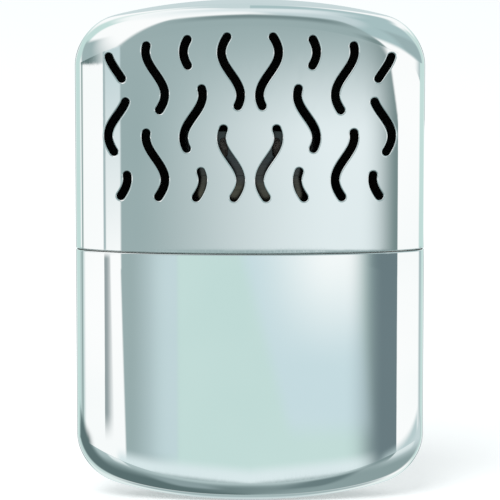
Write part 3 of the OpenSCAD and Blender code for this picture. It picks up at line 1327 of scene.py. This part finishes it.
@dataclass(frozen=True)
class FibrePad:
    """A block of matted fibre with soft edges, which fills an outline. Its fuzz goes inwards only."""

    outline: Stadium
    low: float
    high: float
    soft_edge: float
    fuzz: float
    fuzz_size: float
    steps: int = 160
    rows: int = 14
    rings: int = 6
    edge_rows: int = 5

    def build(self) -> SheetMesh:
        """Builds the pad.

        Returns:
            Its mesh.
        """
        levels = np.linspace(self.low, self.high - self.soft_edge, self.rows)
        path = [(self.outline.radius * k / self.rings, self.low) for k in range(1, self.rings)]
        path += [(self.outline.radius, z) for z in levels]
        for turn in bends(self.edge_rows)[1:]:
            inset = self.soft_edge * (1 - math.cos(turn))
            path.append((self.outline.radius - inset, levels[-1] + self.soft_edge * math.sin(turn)))
        path += [(path[-1][0] * (1 - k / self.rings), self.high) for k in range(1, self.rings)]
        mesh = SheetMesh()
        rows = []
        for radius, z in path:
            ring, away = Stadium(self.outline.straight, radius).loop(self.steps)
            rows.append(mesh.add_row(self.roughened(raised(ring, z), away)))
        mesh.join(rows)
        mesh.bridge(rows[0], flip=True)
        mesh.bridge(rows[-1])
        return mesh

    def roughened(self, points: Array, away: Array) -> Array:
        """Draws points in by the fuzz.

        Args:
            points: Points on the smooth pad.
            away: Outward direction at each of them, as seen from above.

        Returns:
            The moved points.
        """
        depth = lumps(points, self.fuzz_size) * self.fuzz
        up = np.clip((points[:, 2] - self.high + self.soft_edge) / self.soft_edge, 0, 1)
        return points - raised(away * (depth * (1 - up))[:, None], depth * up)


@dataclass
class Filling:
    """The felt wick in the neck and the cotton in the tank, which hold the fuel."""

    neck: Stadium
    wadding_spine: float = 0.63
    lump: float = 0.7
    lump_size: float = 6.0
    steps: int = 160
    wall_rows: int = 20
    crown_rows: int = 10
    top_rings: int = 8

    def build(self) -> None:
        """Builds and dresses the pieces."""
        low, high = span("wick_pad")
        outline = Stadium(self.neck.straight, high.y)
        wick = FibrePad(outline, low.z, high.z, soft_edge=0.6, fuzz=0.12, fuzz_size=0.5).build()
        felt = Fibre("pressed_felt", depth=0.05).material()
        cotton = Fibre("cotton_wool", "#F4F1EA", "#CFC8B8", hair_length=3.0, clump_size=4.0).material()
        piece = settle(wick, "wick_pad_felt", "wick_pad", "tank", Slot.FELT, felt)
        plug = self.wadding()
        piece = settle(plug, "cotton_wadding_plug", "cotton_wadding", "tank", Slot.COTTON, cotton)

    def wadding(self) -> SheetMesh:
        """Packs the cotton into the shape of the tank.

        Returns:
            The lumpy plug's mesh.
        """
        low, high = span("cotton_wadding")
        form = OvalForm(high.x, high.y, spine=self.wadding_spine * high.x)
        t = even_turns(self.steps)
        height = high.z - low.z
        wall, away = form.wall(t)
        start = form.crown(t, 0.0, height)[:, 2]
        rings = [raised(wall * k / self.top_rings, 0.0) for k in range(1, self.top_rings)]
        rings += [raised(wall, start * k / self.wall_rows) for k in range(self.wall_rows)]
        rings += [form.crown(t, turn, height) for turn in bends(self.crown_rows)]
        mesh = SheetMesh()
        rows = []
        for ring in rings:
            points = ring * (1, 1, -1) + (0, 0, high.z)
            inwards = raised(away, 0.0) * (lumps(points, self.lump_size) * self.lump)[:, None]
            rows.append(mesh.add_row(points - inwards))
        mesh.join(rows, flip=True)
        mesh.bridge(rows[0])
        mesh.bridge(rows[-1], flip=True)
        return mesh


# ---- Burner ----


@dataclass(frozen=True)
class WovenGauze:
    """Plain-woven wire cloth, cut to an outline and bound by a pressed strip.

    Real gauze is finer. It is drawn as coarse as it needs to show.
    """

    outline: Stadium
    low: float
    high: float
    pitch: float = 0.8
    border: float = 0.4
    border_round: float = 0.225
    border_steps: int = 160
    sides: int = 6
    steps_per_pitch: int = 4

    def build(self) -> SheetMesh:
        """Weaves the cloth.

        Returns:
            Its mesh, wires and border.
        """
        edge = self.border_round * (self.high - self.low)
        border = Section.strip(-self.border, 0.0, self.low, self.high, edge)
        mesh = border.sweep(*self.outline.loop(self.border_steps))
        radius = self.outline.radius - self.border / 2
        reach = self.outline.straight / 2
        along_x, along_y = int(radius / self.pitch), int((reach + radius) / self.pitch)
        for j in range(-along_x, along_x + 1):
            self.wire(mesh, 0, j, reach + math.sqrt(radius**2 - (j * self.pitch) ** 2))
        for i in range(-along_y, along_y + 1):
            past = max(0.0, abs(i * self.pitch) - reach)
            self.wire(mesh, 1, i, math.sqrt(radius**2 - past**2))
        return mesh

    def wire(self, mesh: SheetMesh, axis: int, number: int, reach: float) -> None:
        """Adds one wire, which goes over and under the wires it crosses.

        Args:
            mesh: Mesh that takes it.
            axis: 0 for a wire along X and 1 for one along Y.
            number: Its number from the middle.
            reach: Its half length.
        """
        radius = (self.high - self.low) / 4
        steps = max(2, round(2 * reach / self.pitch * self.steps_per_pitch))
        along = np.linspace(-reach, reach, steps + 1)
        sense = (1 if number % 2 == 0 else -1) * (1 if axis == 0 else -1)
        path = np.zeros((len(along), 3))
        path[:, axis] = along
        path[:, 1 - axis] = number * self.pitch
        path[:, 2] = (self.low + self.high) / 2 + sense * radius * np.cos(math.pi * along / self.pitch)
        side = np.zeros(3)
        side[1 - axis] = 1.0
        up = np.cross(unit(np.gradient(path, axis=0)), side)
        spokes = [side * math.cos(turn) + up * math.sin(turn) for turn in even_turns(self.sides)]
        rows = [mesh.add_row(path + spoke * radius, spoke) for spoke in spokes]
        mesh.join([*rows, rows[0]], flip=True, closed=False)


@dataclass
class Burner:
    """The catalytic burner: a skirt that grips the neck, the mat between two gauzes, and the hood."""

    neck: Stadium
    sheet: float = 0.4
    edge: float = 0.12
    edge_rows: int = 3
    roof_round: float = 0.45
    roof_rows: int = 6
    roof_grid: float = 0.4
    roof_margin: float = 0.3
    window_half: float = 0.75
    window_pitch: float = 2.6
    window_steps: int = 5
    windows: int = 3
    window_rim: float = 0.9
    hole_radius: float = 0.6
    hole_pitch: float = 2.2
    hole_rows: int = 1
    hole_columns: int = 4
    hole_clearance: float = 0.1
    rivet_x: float = 8.2
    rivet_shank: float = 0.45
    rivet_head: float = 0.8
    rivet_foot: float = 0.05
    rivet_sides: int = 24
    dome_rows: int = 5
    steps: int = 200
    wall_rows: int = 14
    punch: EdgeRoll = EdgeRoll(((0.12, 0.0, 0.0), (0.05, 0.02, 30.0), (0.0, 0.08, 85.0)))

    def build(self) -> None:
        """Builds and dresses the pieces."""
        wire = DrawnWire().material()
        spring = DrawnWire("spring_strip", bright="#BEBDB8", dull="#A09E99", mark_size=0.6).material()
        # The burner goes near black towards its top, partly as painted shade inside the cover that the slots
        # show.
        heat_and_shade_nickel = SatinNickel("heat_tinted_and_shaded_nickel", heat_and_shade=0.9, heat_and_shade_low=57.0, heat_and_shade_high=72.0).material()
        coated = Fibre("coated_glass_fibre", "#6E6A64", "#2C2A28", clump_size=1.0, sheen=0.1).material()
        for node, body in (("neck_screen", "tank"), ("lower_gauze", "burner"), ("upper_gauze", "burner")):
            low, high = span(node)
            cloth = WovenGauze(Stadium(self.neck.straight, high.y), low.z, high.z).build()
            settle(cloth, f"{node}_woven", node, body, Slot.GAUZE, wire)
        low, high = span("catalyst_mat")
        outline = Stadium(self.neck.straight, high.y)
        mat = FibrePad(outline, low.z, high.z, soft_edge=1.0, fuzz=0.2, fuzz_size=0.8).build()
        padded = settle(mat, "catalyst_mat_fibre", "catalyst_mat", "burner", Slot.GLASS_FIBRE, coated)
        settle(self.skirt(), "burner_skirt_band", "burner_skirt", "burner", Slot.NICKEL, heat_and_shade_nickel)
        settle(self.hood(), "burner_hood_pressed", "burner_hood", "burner", Slot.NICKEL, heat_and_shade_nickel, heat_and_shade_nickel)
        settle(self.rivets(), "hood_rivets_domed", "hood_rivets", "burner", Slot.NICKEL, heat_and_shade_nickel)
        dress("burner_baffle", heat_and_shade_nickel)
        dress("front_grip_spring", spring)
        dress("rear_grip_spring", spring)

    def skirt(self) -> SheetMesh:
        """Sweeps the skirt's band, with softened edges.

        Returns:
            The band's mesh.
        """
        low, high = span("burner_skirt")
        outer = high.y - self.neck.radius
        band = Section.strip(outer - self.sheet, outer, low.z, high.z, self.edge)
        return band.sweep(*self.neck.loop(self.steps))

    def hood(self) -> SheetMesh:
        """Presses the hood, with windows round its wall and holes in its roof.

        Returns:
            Its mesh, with finish 0 outside and finish 1 inside.
        """
        low, high = span("burner_hood")
        outline = Stadium(self.neck.straight, high.y)
        along = np.arange(self.steps + 1) * outline.length() / self.steps
        levels = np.linspace(low.z + self.edge, high.z - self.roof_round, self.wall_rows + 1)
        mesh = SheetMesh()
        places = along[:-1]
        wall = [self.ring(mesh, outline, places, z) for z in levels]
        self.punch_wall(mesh, outline, along, levels, wall)
        rim, crown = [wall[0]], [wall[-1]]
        for turn in bends(self.edge_rows)[1:]:
            rim.append(self.ring(mesh, outline, places, levels[0], self.edge, -turn))
        for turn in bends(self.roof_rows)[1:]:
            crown.append(self.ring(mesh, outline, places, levels[-1], self.roof_round, turn))
        for skin, flip in ((0, False), (1, True)):
            mesh.join([row[skin] for row in crown], skin, flip)
        mesh.join([row[0] for row in reversed(rim)])
        mesh.join([wall[0][1], rim[-1][0]], 1)
        self.punch_roof(mesh, outline, high.z, crown[-1], places)
        return mesh

    def ring(
        self,
        mesh: SheetMesh,
        outline: Stadium,
        along: Array,
        z: float,
        radius: float = 0.0,
        tilt: float = 0.0,
    ) -> tuple[list[int], list[int]]:
        """Adds one row of the wall, or of a rounding at its end, to both skins of the hood.

        Args:
            mesh: Mesh that takes it.
            outline: The hood's outline.
            along: Places along the outline.
            z: Height at which the outer skin's wall ends.
            radius: Radius of the rounding.
            tilt: Angle through the rounding, positive upwards.

        Returns:
            Numbers of the outer and of the inner points.
        """
        points, away = outline.at(along)
        normals = raised(away * math.cos(tilt), math.sin(tilt))
        inset = radius * (1 - math.cos(tilt))
        outer = raised(points - away * inset, z + radius * math.sin(tilt))
        return mesh.add_row(outer, normals), mesh.add_row(outer - normals * self.sheet, -normals)

    def punch_wall(
        self,
        mesh: SheetMesh,
        outline: Stadium,
        along: Array,
        levels: Array,
        rows: list[tuple[list[int], list[int]]],
    ) -> None:
        """Fills the hood's unrolled wall with metal round the windows.

        Args:
            mesh: The hood's mesh.
            outline: The hood's outline.
            along: Places along it, from start to start.
            levels: Heights of the wall's rows.
            rows: Numbers of the outer and of the inner points of each row.
        """
        last, top = self.steps, self.wall_rows
        loop = [(0, i) for i in range(last)] + [(j, last) for j in range(top)]
        loop += [(top, i) for i in range(last, 0, -1)] + [(j, 0) for j in range(top, 0, -1)]
        border = np.array([(along[i], levels[j]) for j, i in loop])
        inside = np.array([(s, z) for s in along[1:-1] for z in levels[1:-1]])
        skins = [[rows[j][skin][i % last] for j, i in loop] for skin in (0, 1)]

        def place(flat: Array) -> tuple[Array, Array]:
            """Point and outward direction of each place on the unrolled wall."""
            points, away = outline.at(flat[:, 0] % outline.length())
            return raised(points, flat[:, 1]), raised(away, 0.0)

        patch = PunchedPatch(mesh, place, self.sheet, self.punch)
        patch.fill(border, skins, inside, self.window_slots(outline))

    def window_slots(self, outline: Stadium) -> list[RoundSlot]:
        """Lays out the windows on the unrolled wall, front, back and at both ends.

        Args:
            outline: The hood's outline.

        Returns:
            The windows.
        """
        low = span("lower_gauze")[1].z + self.window_rim + self.window_half
        high = span("upper_gauze")[0].z - self.window_rim - self.window_half
        eighth = outline.eighth()
        back = 3 * eighth + outline.straight / 2
        left = 5 * eighth + outline.straight
        front = 7 * eighth + 1.5 * outline.straight
        rows = [i * self.window_pitch for i in range(-self.windows, self.windows + 1)]
        places = [back - x for x in rows] + [front + x for x in rows] + [eighth, left]
        z = np.linspace(low, high, self.window_steps)
        return [RoundSlot(np.column_stack([np.full(len(z), s), z]), self.window_half) for s in places]

    def punch_roof(
        self, mesh: SheetMesh, outline: Stadium, z: float, skins: Sequence[list[int]], along: Array
    ) -> None:
        """Fills the hood's roof with metal round its rows of holes.

        Args:
            mesh: The hood's mesh.
            outline: The hood's outline.
            z: Height of the roof.
            skins: Numbers of the points that the crown ends on.
            along: Places of these points along the outline.
        """
        points, away = outline.at(along)
        border = points - away * self.roof_round
        half = outline.straight / 2
        radius = outline.radius - self.roof_round - self.roof_margin
        count = math.ceil((half + radius) / self.roof_grid)
        grid = np.arange(-count, count + 1) * self.roof_grid
        places = [(x, y) for x in grid for y in grid if math.hypot(max(0.0, abs(x) - half), y) < radius]
        holes = [
            RoundSlot(np.array([[i * self.hole_pitch, j * self.hole_pitch]]), self.hole_radius)
            for i in range(-self.hole_columns, self.hole_columns + 1)
            for j in range(-self.hole_rows, self.hole_rows + 1)
        ]

        def place(flat: Array) -> tuple[Array, Array]:
            """Point and upward direction of each place on the roof."""
            return raised(flat, z), np.tile([0.0, 0.0, 1.0], (len(flat), 1))

        patch = PunchedPatch(mesh, place, self.sheet, self.punch, self.hole_clearance)
        patch.fill(border, skins, np.array(places), holes)

    def rivets(self) -> SheetMesh:
        """Turns the four domed rivets that join the hood to the skirt.

        Returns:
            One mesh with all four.
        """
        low, high = span("hood_rivets")
        face = span("burner_hood")[1].y
        foot = face - 2 * self.sheet - self.rivet_foot
        dome = high.y - face
        profile = [(0.0, foot, 0.0), (self.rivet_shank, foot, 0.0), (self.rivet_shank, face, 0.0)]
        profile.append((self.rivet_head, face, 0.0))
        for turn in bends(self.dome_rows):
            profile.append((self.rivet_head * math.cos(turn), face + dome * math.sin(turn), turn))
        turns = even_turns(self.rivet_sides)
        spokes = np.column_stack([np.cos(turns), np.sin(turns)])
        mesh = SheetMesh()
        for x in (-self.rivet_x, self.rivet_x):
            centre = (x, (low.z + high.z) / 2)
            for sense in (-1, 1):
                rows = []
                for radius, out, tilt in profile:
                    # Each ring is made lying and is then stood up, so that the rivet points along Y.
                    ring = raised(centre + spokes * radius, sense * out)
                    normals = raised(spokes * math.cos(tilt), sense * math.sin(tilt))
                    rows.append(mesh.add_row(ring[:, [0, 2, 1]], normals[:, [0, 2, 1]]))
                mesh.join(rows, flip=sense > 0)
        return mesh


# ---- Studio ----


class SkyPlace:
    """The direction that a ray leaves in, as angles across and up."""

    def __init__(self, tree: Tree) -> None:
        """Works out both angles in degrees.

        Args:
            tree: Tree of the world.
        """
        self.tree = tree
        direction = add_node(tree, "TexCoord").outputs["Generated"]
        part = add_node(tree, "SeparateXYZ", {"Vector": direction}).outputs
        forwards = self.math("MULTIPLY", part["Y"], -1.0)
        self.turn = self.math("DEGREES", self.math("ARCTAN2", part["X"], forwards))
        self.side = self.math("ABSOLUTE", self.turn)
        self.rise = self.math("DEGREES", self.math("ARCSINE", part["Z"]))
        self.slanted = {0.0: self.rise}
        self.leaning = {(0.0, False): self.turn, (0.0, True): self.side}

    def math(self, operation: str, *values: Socket | float) -> Socket:
        """Adds one sum and gives its result."""
        return add_node(self.tree, "Math", dict(enumerate(values)), operation=operation).outputs["Value"]

    def up(self, slant: float) -> Socket:
        """Angle up, less a share of the angle to the side, so that a card's ends rise to the sides."""
        if slant not in self.slanted:
            self.slanted[slant] = self.math("MULTIPLY_ADD", self.side, -slant, self.rise)
        return self.slanted[slant]

    def across(self, lean: float, both: bool) -> Socket:
        """Angle across, less a share of the angle up, so that a card's sides lean.

        Args:
            lean: Degrees across for each degree up.
            both: True for a card that stands on the left as on the right.

        Returns:
            The angle.
        """
        if (lean, both) not in self.leaning:
            start = self.leaning[0.0, both]
            self.leaning[lean, both] = self.math("MULTIPLY_ADD", self.rise, -lean, start)
        return self.leaning[lean, both]


@dataclass(frozen=True)
class StudioCard:
    """A card that stands in the light tent, as seen from the warmer, or a soft patch of light on one.

    Directions are in degrees: across from the front (-180 to 180, to the right is positive), and up
    from level. Each edge is given by its place and by half the width over which it fades. A card with a
    second tone changes to it from its bottom to its top.
    """

    name: str
    tone: str
    left: tuple[float, float] | None = None
    right: tuple[float, float] | None = None
    bottom: tuple[float, float] | None = None
    top: tuple[float, float] | None = None
    slant: float = 0.0
    lean: float = 0.0
    both: bool = False
    high: str | None = None

    def add_to(self, tree: Tree, sky: SkyPlace, under: Socket) -> Socket:
        """Lays the card over what stands behind it.

        Args:
            tree: Tree of the world.
            sky: The direction that is looked up.
            under: Colour behind the card.

        Returns:
            Colour with the card.
        """
        across = sky.across(self.lean, self.both)
        up = sky.up(self.slant)
        share = None
        edges = ((across, self.left, 1), (across, self.right, -1), (up, self.bottom, 1), (up, self.top, -1))
        for place, edge, sense in edges:
            if edge is None:
                continue
            at, soft = edge
            fade = {"Value": place, "From Min": at - sense * soft, "From Max": at + sense * soft}
            shown = add_node(tree, "MapRange", fade, interpolation_type="SMOOTHSTEP").outputs["Result"]
            share = shown if share is None else sky.math("MULTIPLY", share, shown)
        tone = linear(self.tone)
        if self.high:
            rise = {"Value": up, "From Min": self.bottom[0], "From Max": self.top[0]}
            blend = {"Factor": add_node(tree, "MapRange", rise), UNDER: tone, OVER: linear(self.high)}
            tone = add_node(tree, "Mix", blend, data_type="RGBA").outputs[MIXED]
        laid = {"Factor": share, UNDER: under, OVER: tone}
        return add_node(tree, "Mix", laid, data_type="RGBA").outputs[MIXED]


@dataclass(frozen=True)
class WallCard(StudioCard):
    """A card that the cover's upright wall mirrors, from the seam up to the rounding."""

    bottom: tuple[float, float] | None = (-9.5, 0.02)
    top: tuple[float, float] | None = (-6.66, 0.02)
    slant: float = -0.0085


@dataclass(frozen=True)
class TankCard(StudioCard):
    """A card that the tank's upright wall mirrors, from the foot's rounding up to the seam."""

    bottom: tuple[float, float] | None = (-13, 0.3)
    top: tuple[float, float] | None = (-9.545, 0.01)
    slant: float = 0.001


@dataclass(frozen=True)
class PaintedFloorCard(StudioCard):
    """A patch of the floor's painted light and shade, which the rounding at the foot mirrors in place of the
    floor itself.
    """

    top: tuple[float, float] | None = (-12.48, 0.04)
    slant: float = 0.0085


WHITE = "#FEFFFF"
MINT = "#C6DFDB"
PALE_MINT = "#E6F2F0"
SKY = "#A9C1C3"

# From back to front. The tent itself is white.
STUDIO_CARDS = (
    StudioCard("back", "#C6D6D8", left=(162, 8), both=True),
    # Over the warmer
    StudioCard("sky_right", SKY, left=(14, 10), right=(100, 9), bottom=(19.5, 6), slant=-0.35),
    StudioCard("sky_low", "#9BB1B3", left=(50, 6), right=(100, 9), bottom=(20, 6), top=(54, 6), slant=-0.35),
    StudioCard("sky_high", SKY, left=(10, 14), bottom=(50, 5)),
    StudioCard("sky_front", "#C3D3D6", left=(10, 12), bottom=(-5, 8), slant=1.1),
    StudioCard("zenith_right", "#D6E2E5", left=(-6, 22), right=(152, 14), bottom=(70, 10)),
    StudioCard("zenith_left", "#F2F7F8", left=(-152, 14), right=(-6, 22), bottom=(64, 12)),
    StudioCard("zenith_cap", "#DFE9EB", bottom=(79, 8)),
    # At the sides and behind
    StudioCard("mint_right", MINT, left=(98, 9), right=(160, 10), bottom=(-40, 8), top=(38, 6)),
    StudioCard("mint_left", MINT, left=(-160, 10), right=(-82, 5), bottom=(-40, 8), top=(57, 7)),
    StudioCard("crescent_left", WHITE, left=(-170, 6), right=(-126, 12), bottom=(26, 8), top=(52, 6)),
    StudioCard("crescent_right", WHITE, left=(118, 10), right=(172, 6), bottom=(24, 8), top=(46, 5)),
    StudioCard("rear_white", WHITE, left=(127, 3), right=(139, 1), bottom=(-34, 8), top=(12, 6), both=True),
    StudioCard(
        "rear_shade", "#7E9292", left=(138, 0.6), right=(156, 8), bottom=(-34, 8), top=(9, 5), both=True
    ),
    StudioCard(
        "rear_pale", "#E3ECEE", left=(157, 7), right=(174, 8), bottom=(-34, 8), top=(7, 5), both=True
    ),
    # In front, over the camera, which the rounding at the top mirrors
    StudioCard(
        "left_panel", "#9FB3B4", left=(-79, 4), right=(-42, 14), bottom=(-7.12, 0.03), top=(24, 4), lean=-0.65
    ),
    StudioCard(
        "front_card", "#99ADAE", left=(-28.4, 2.5), right=(31, 1.5), bottom=(-14, 1), top=(60, 9), slant=-0.45
    ),
    StudioCard("front_corner", "#7B8F8F", left=(24, 4), right=(31, 1.5), bottom=(-14, 1), top=(6, 6)),
    StudioCard(
        "front_hood", "#768A8B", left=(-16, 12), right=(28, 8), bottom=(36, 12), top=(56, 7), slant=-0.3
    ),
    # Round the camera, as the cover's wall mirrors it
    WallCard("wall_white_right", WHITE, left=(28, 0.5), right=(82, 4), bottom=(-13, 0.3)),
    WallCard("wall_front", "#9AAEAF", left=(-28.6, 0.5), right=(39.3, 0.25), bottom=(-13, 0.3)),
    WallCard("wall_shade", "#778B8B", left=(24, 8), right=(39.3, 0.25)),
    WallCard("wall_glow", "#E4EEF0", left=(-4, 19), right=(29.5, 9), top=(-7.3, 0.8), slant=0.0),
    WallCard("wall_corner", WHITE, left=(-23.4, 1), bottom=(-8.2, 0.2), lean=-8),
    WallCard("wall_corner_top", WHITE, left=(-108.3, 2), bottom=(-7.3, 0.1), lean=-20),
    WallCard("left_strip", WHITE, left=(-36.6, 0.3), right=(-28.2, 0.6), high="#BFD2D5"),
    WallCard("left_line", "#A8BABC", left=(-38.4, 0.3), right=(-36.6, 0.5), top=(-6.9, 0.1), slant=0.0),
    WallCard("left_edge_line", "#8CA19F", left=(-77, 1), right=(-71, 3), top=(-6.9, 0.1), slant=0.0),
    StudioCard(
        "box_line", "#667A7A", left=(-78, 3), right=(-46, 10), bottom=(-7.13, 0.02), top=(-6.98, 0.06)
    ),
    StudioCard(
        "wall_mint_right",
        MINT,
        left=(82, 3),
        right=(127, 3),
        bottom=(-9.545, 0.01),
        top=(-6.6, 0.2),
        slant=0.001,
    ),
    # Under the camera, as the tank's wall mirrors it
    TankCard("lower_mint", MINT, left=(-15, 4), right=(24.5, 5)),
    TankCard("lower_blue_left", "#C4D8DC", left=(-18.5, 6.5), right=(-12.2, 0.5), bottom=(-12.2, 0.15)),
    TankCard(
        "lower_blue_right", "#C9DEE3", left=(-32.7, 1.5), right=(-12.6, 3), bottom=(-11.8, 0.2), lean=-3.3
    ),
    TankCard("lower_light", "#F8FCFC", left=(6, 8), right=(22, 4), bottom=(-10.3, 0.8)),
    TankCard("lower_dark", "#6B7D82", left=(23.5, 7), right=(39.2, 0.3)),
    StudioCard(
        "lower_line", "#96A2A4", left=(-38, 0.15), right=(-33.8, 3), bottom=(-11.75, 0.2), top=(-9.56, 0.05)
    ),
    TankCard("lower_left_shade", "#B9CCCB", left=(-90, 3), right=(-69, 6)),
    TankCard("lower_left_line", "#8BA09E", left=(-80, 1), right=(-75, 1.5)),
    StudioCard(
        "lower_wedge",
        WHITE,
        left=(-42, 0.6),
        right=(-36.6, 0.5),
        bottom=(-12.2, 0.1),
        top=(-9.55, 0.02),
        lean=-0.85,
    ),
    # Painted light and shade of the floor near the foot, which the rounding at the foot mirrors in place of
    # the floor itself
    PaintedFloorCard("foot_pale", "#DDEBED", left=(-30, 2), right=(24, 6), top=(-12.31, 0.09), slant=0.008),
    PaintedFloorCard("foot_glow_right", "#BACDCF", left=(30, 4), right=(80, 8), top=(-12.49, 0.09), slant=0.012),
    PaintedFloorCard("floor", "#8A9E9F", left=(-98, 10), right=(104, 10)),
    PaintedFloorCard(
        "floor_glow",
        "#C6D6D8",
        left=(30, 12),
        right=(100, 8),
        bottom=(-26, 14),
        top=(-12.44, 0.06),
        lean=-0.3,
    ),
    PaintedFloorCard("floor_near", "#B1C3C4", left=(-52, 6), right=(28, 10), bottom=(-24, 12), top=(-12.5, 0.04)),
    PaintedFloorCard("floor_corner", "#5F7374", left=(-95, 10), right=(-54, 7), top=(-12.42, 0.11), slant=0.01),
    StudioCard("floor_deep", "#5C7071", left=(-100, 10), right=(2, 36), top=(-34, 14)),
    StudioCard("floor_sheen", "#8C9FA1", left=(-25, 5), right=(-9, 4), bottom=(-54, 8), top=(-26, 6)),
    StudioCard("floor_dusk", "#6A7E80", left=(9, 5), right=(25, 4), bottom=(-54, 8), top=(-20, 6)),
    StudioCard(
        "floor_strip_left", "#E4EDEE", left=(-37, 1.5), right=(-28.5, 1), bottom=(-20, 5), top=(-12.6, 0.2)
    ),
    StudioCard(
        "floor_strip_right", "#DCE7E8", left=(39.2, 1), right=(70, 6), bottom=(-21, 6), top=(-12.4, 0.2)
    ),
    StudioCard(
        "floor_strip_dark", "#7E9294", left=(26, 5), right=(39.2, 1), bottom=(-20, 5), top=(-12.4, 0.2)
    ),
    StudioCard("low_left", "#C6DAD8", left=(-127, 3), right=(-97, 9), bottom=(-60, 8), top=(-14, 2)),
    StudioCard(
        "crescent_low_left", PALE_MINT, left=(-170, 6), right=(-120, 12), bottom=(-60, 6), top=(-38, 5)
    ),
    StudioCard(
        "crescent_low_right", PALE_MINT, left=(124, 12), right=(170, 6), bottom=(-58, 6), top=(-38, 5)
    ),
    StudioCard("nadir", "#A5B8B9", left=(108, 16), top=(-61, 6), both=True),
)


@dataclass
class Studio:
    """Plain pale floor, soft light, and the camera at the photograph's angle.

    The camera's place and view and the floor are in millimetres, its clip and the lamp in metres.
    """

    elevation: float = 9.5
    distance: float = 900.0
    view_width: float = 100.0
    aim: float = 50.0
    sensor: float = 36.0
    clip: tuple[float, float] = (0.01, 50.0)
    cloth: str = "#FEFFFF"
    fill: str = "#CCD0D1"
    seen: str = "#FFFFFF"
    floor_paint: str = "#F2F4F4"
    floor_glow: float = 0.3
    floor_reach: float = 4000.0
    lamp_width: float = 1.2
    lamp_power: float = 14.0
    lamp_place: tuple[float, float, float] = (-0.5, -0.9, 1.4)

    def build(self) -> None:
        """Makes the camera, the floor, the lamp and the surroundings."""
        self.camera()
        self.floor()
        self.lamp()
        self.world()
        bpy.context.scene.view_settings.view_transform = "Standard"

    def camera(self) -> None:
        """Puts the camera in front of the warmer and a little above."""
        data = bpy.data.cameras.new("camera")
        data.sensor_width = self.sensor
        data.lens = self.sensor * self.distance / self.view_width
        data.clip_start, data.clip_end = self.clip
        made = bpy.data.objects.new("camera", data)
        bpy.context.scene.collection.objects.link(made)
        tilt = math.radians(self.elevation)
        back = Vector((0, -math.cos(tilt), math.sin(tilt)))
        made.location = (Vector((0, 0, self.aim)) + back * self.distance) * MM
        made.rotation_euler = (-back).to_track_quat("-Z", "Y").to_euler()
        bpy.context.scene.camera = made

    def floor(self) -> None:
        """Lays a wide pale floor that renders white and keeps the warmer's shadow."""
        mesh = SheetMesh()
        corners = np.array([[-1, -1, 0], [1, -1, 0], [1, 1, 0], [-1, 1, 0]]) * self.floor_reach
        mesh.add_face(mesh.add_row(corners))
        material = bpy.data.materials.new("pale_floor")
        material.use_nodes = True
        tree = material.node_tree
        tree.nodes.clear()
        paint = add_node(tree, "BsdfDiffuse", {"Color": linear(self.floor_paint)})
        glow = add_node(tree, "Emission", {"Color": linear(self.seen), "Strength": self.floor_glow})
        add_node(tree, "OutputMaterial", {"Surface": add_node(tree, "AddShader", {0: paint, 1: glow})})
        made = mesh.make("floor", material)
        # The chrome sees the tent's painted floor, with its painted shade, in place of this one.
        made.visible_glossy = False

    def lamp(self) -> None:
        """Hangs one large soft lamp over the warmer, a little to the left and in front."""
        data = bpy.data.lights.new("soft_box", "AREA")
        data.shape = "DISK"
        data.size = self.lamp_width
        data.energy = self.lamp_power
        made = bpy.data.objects.new("soft_box", data)
        made.location = self.lamp_place
        made.rotation_euler = (-Vector(self.lamp_place)).to_track_quat("-Z", "Y").to_euler()
        made.visible_glossy = False
        made.visible_camera = False
        bpy.context.scene.collection.objects.link(made)

    def world(self) -> None:
        """Surrounds the warmer with a white tent, whose cards show only in what shines.

        Rays from the camera see plain white, and rays that light dull surfaces meet an even fill.
        """
        made = bpy.data.worlds.new("tent")
        bpy.context.scene.world = made
        made.use_nodes = True
        tree = made.node_tree
        tree.nodes.clear()
        sky = SkyPlace(tree)
        tent = add_node(tree, "RGB")
        tent.outputs[0].default_value = linear(self.cloth)
        colour = tent.outputs[0]
        for card in STUDIO_CARDS:
            colour = card.add_to(tree, sky, colour)
        path = add_node(tree, "LightPath").outputs
        shining = sky.math("MAXIMUM", path["Is Glossy Ray"], path["Is Transmission Ray"])
        fill = {"Factor": shining, UNDER: linear(self.fill), OVER: colour}
        lit = add_node(tree, "Mix", fill, data_type="RGBA").outputs[MIXED]
        seen = {"Factor": path["Is Camera Ray"], UNDER: lit, OVER: linear(self.seen)}
        shown = add_node(tree, "Mix", seen, data_type="RGBA").outputs[MIXED]
        background = add_node(tree, "Background", {"Color": shown, "Strength": 1.0})
        add_node(tree, "OutputWorld", {"Surface": background})


def main() -> None:
    """Builds the warmer and the studio."""
    logging.basicConfig(level=logging.INFO, format="%(name)s: %(message)s")
    _, corner = span("vented_cover")
    _, flange = span("filler_neck")
    form = OvalForm(corner.x, corner.y)
    # The frame's round ends are faceted, so that the neck's sizes come out a hair off their tenths.
    neck = Stadium(round(2 * (flange.x - flange.y), 1), round(flange.y - TankTop.flange, 1))
    Body(form).build()
    TankTop(form, neck).build()
    Filling(neck).build()
    Burner(neck).build()
    Studio().build()


if __name__ == "__main__":
    main()
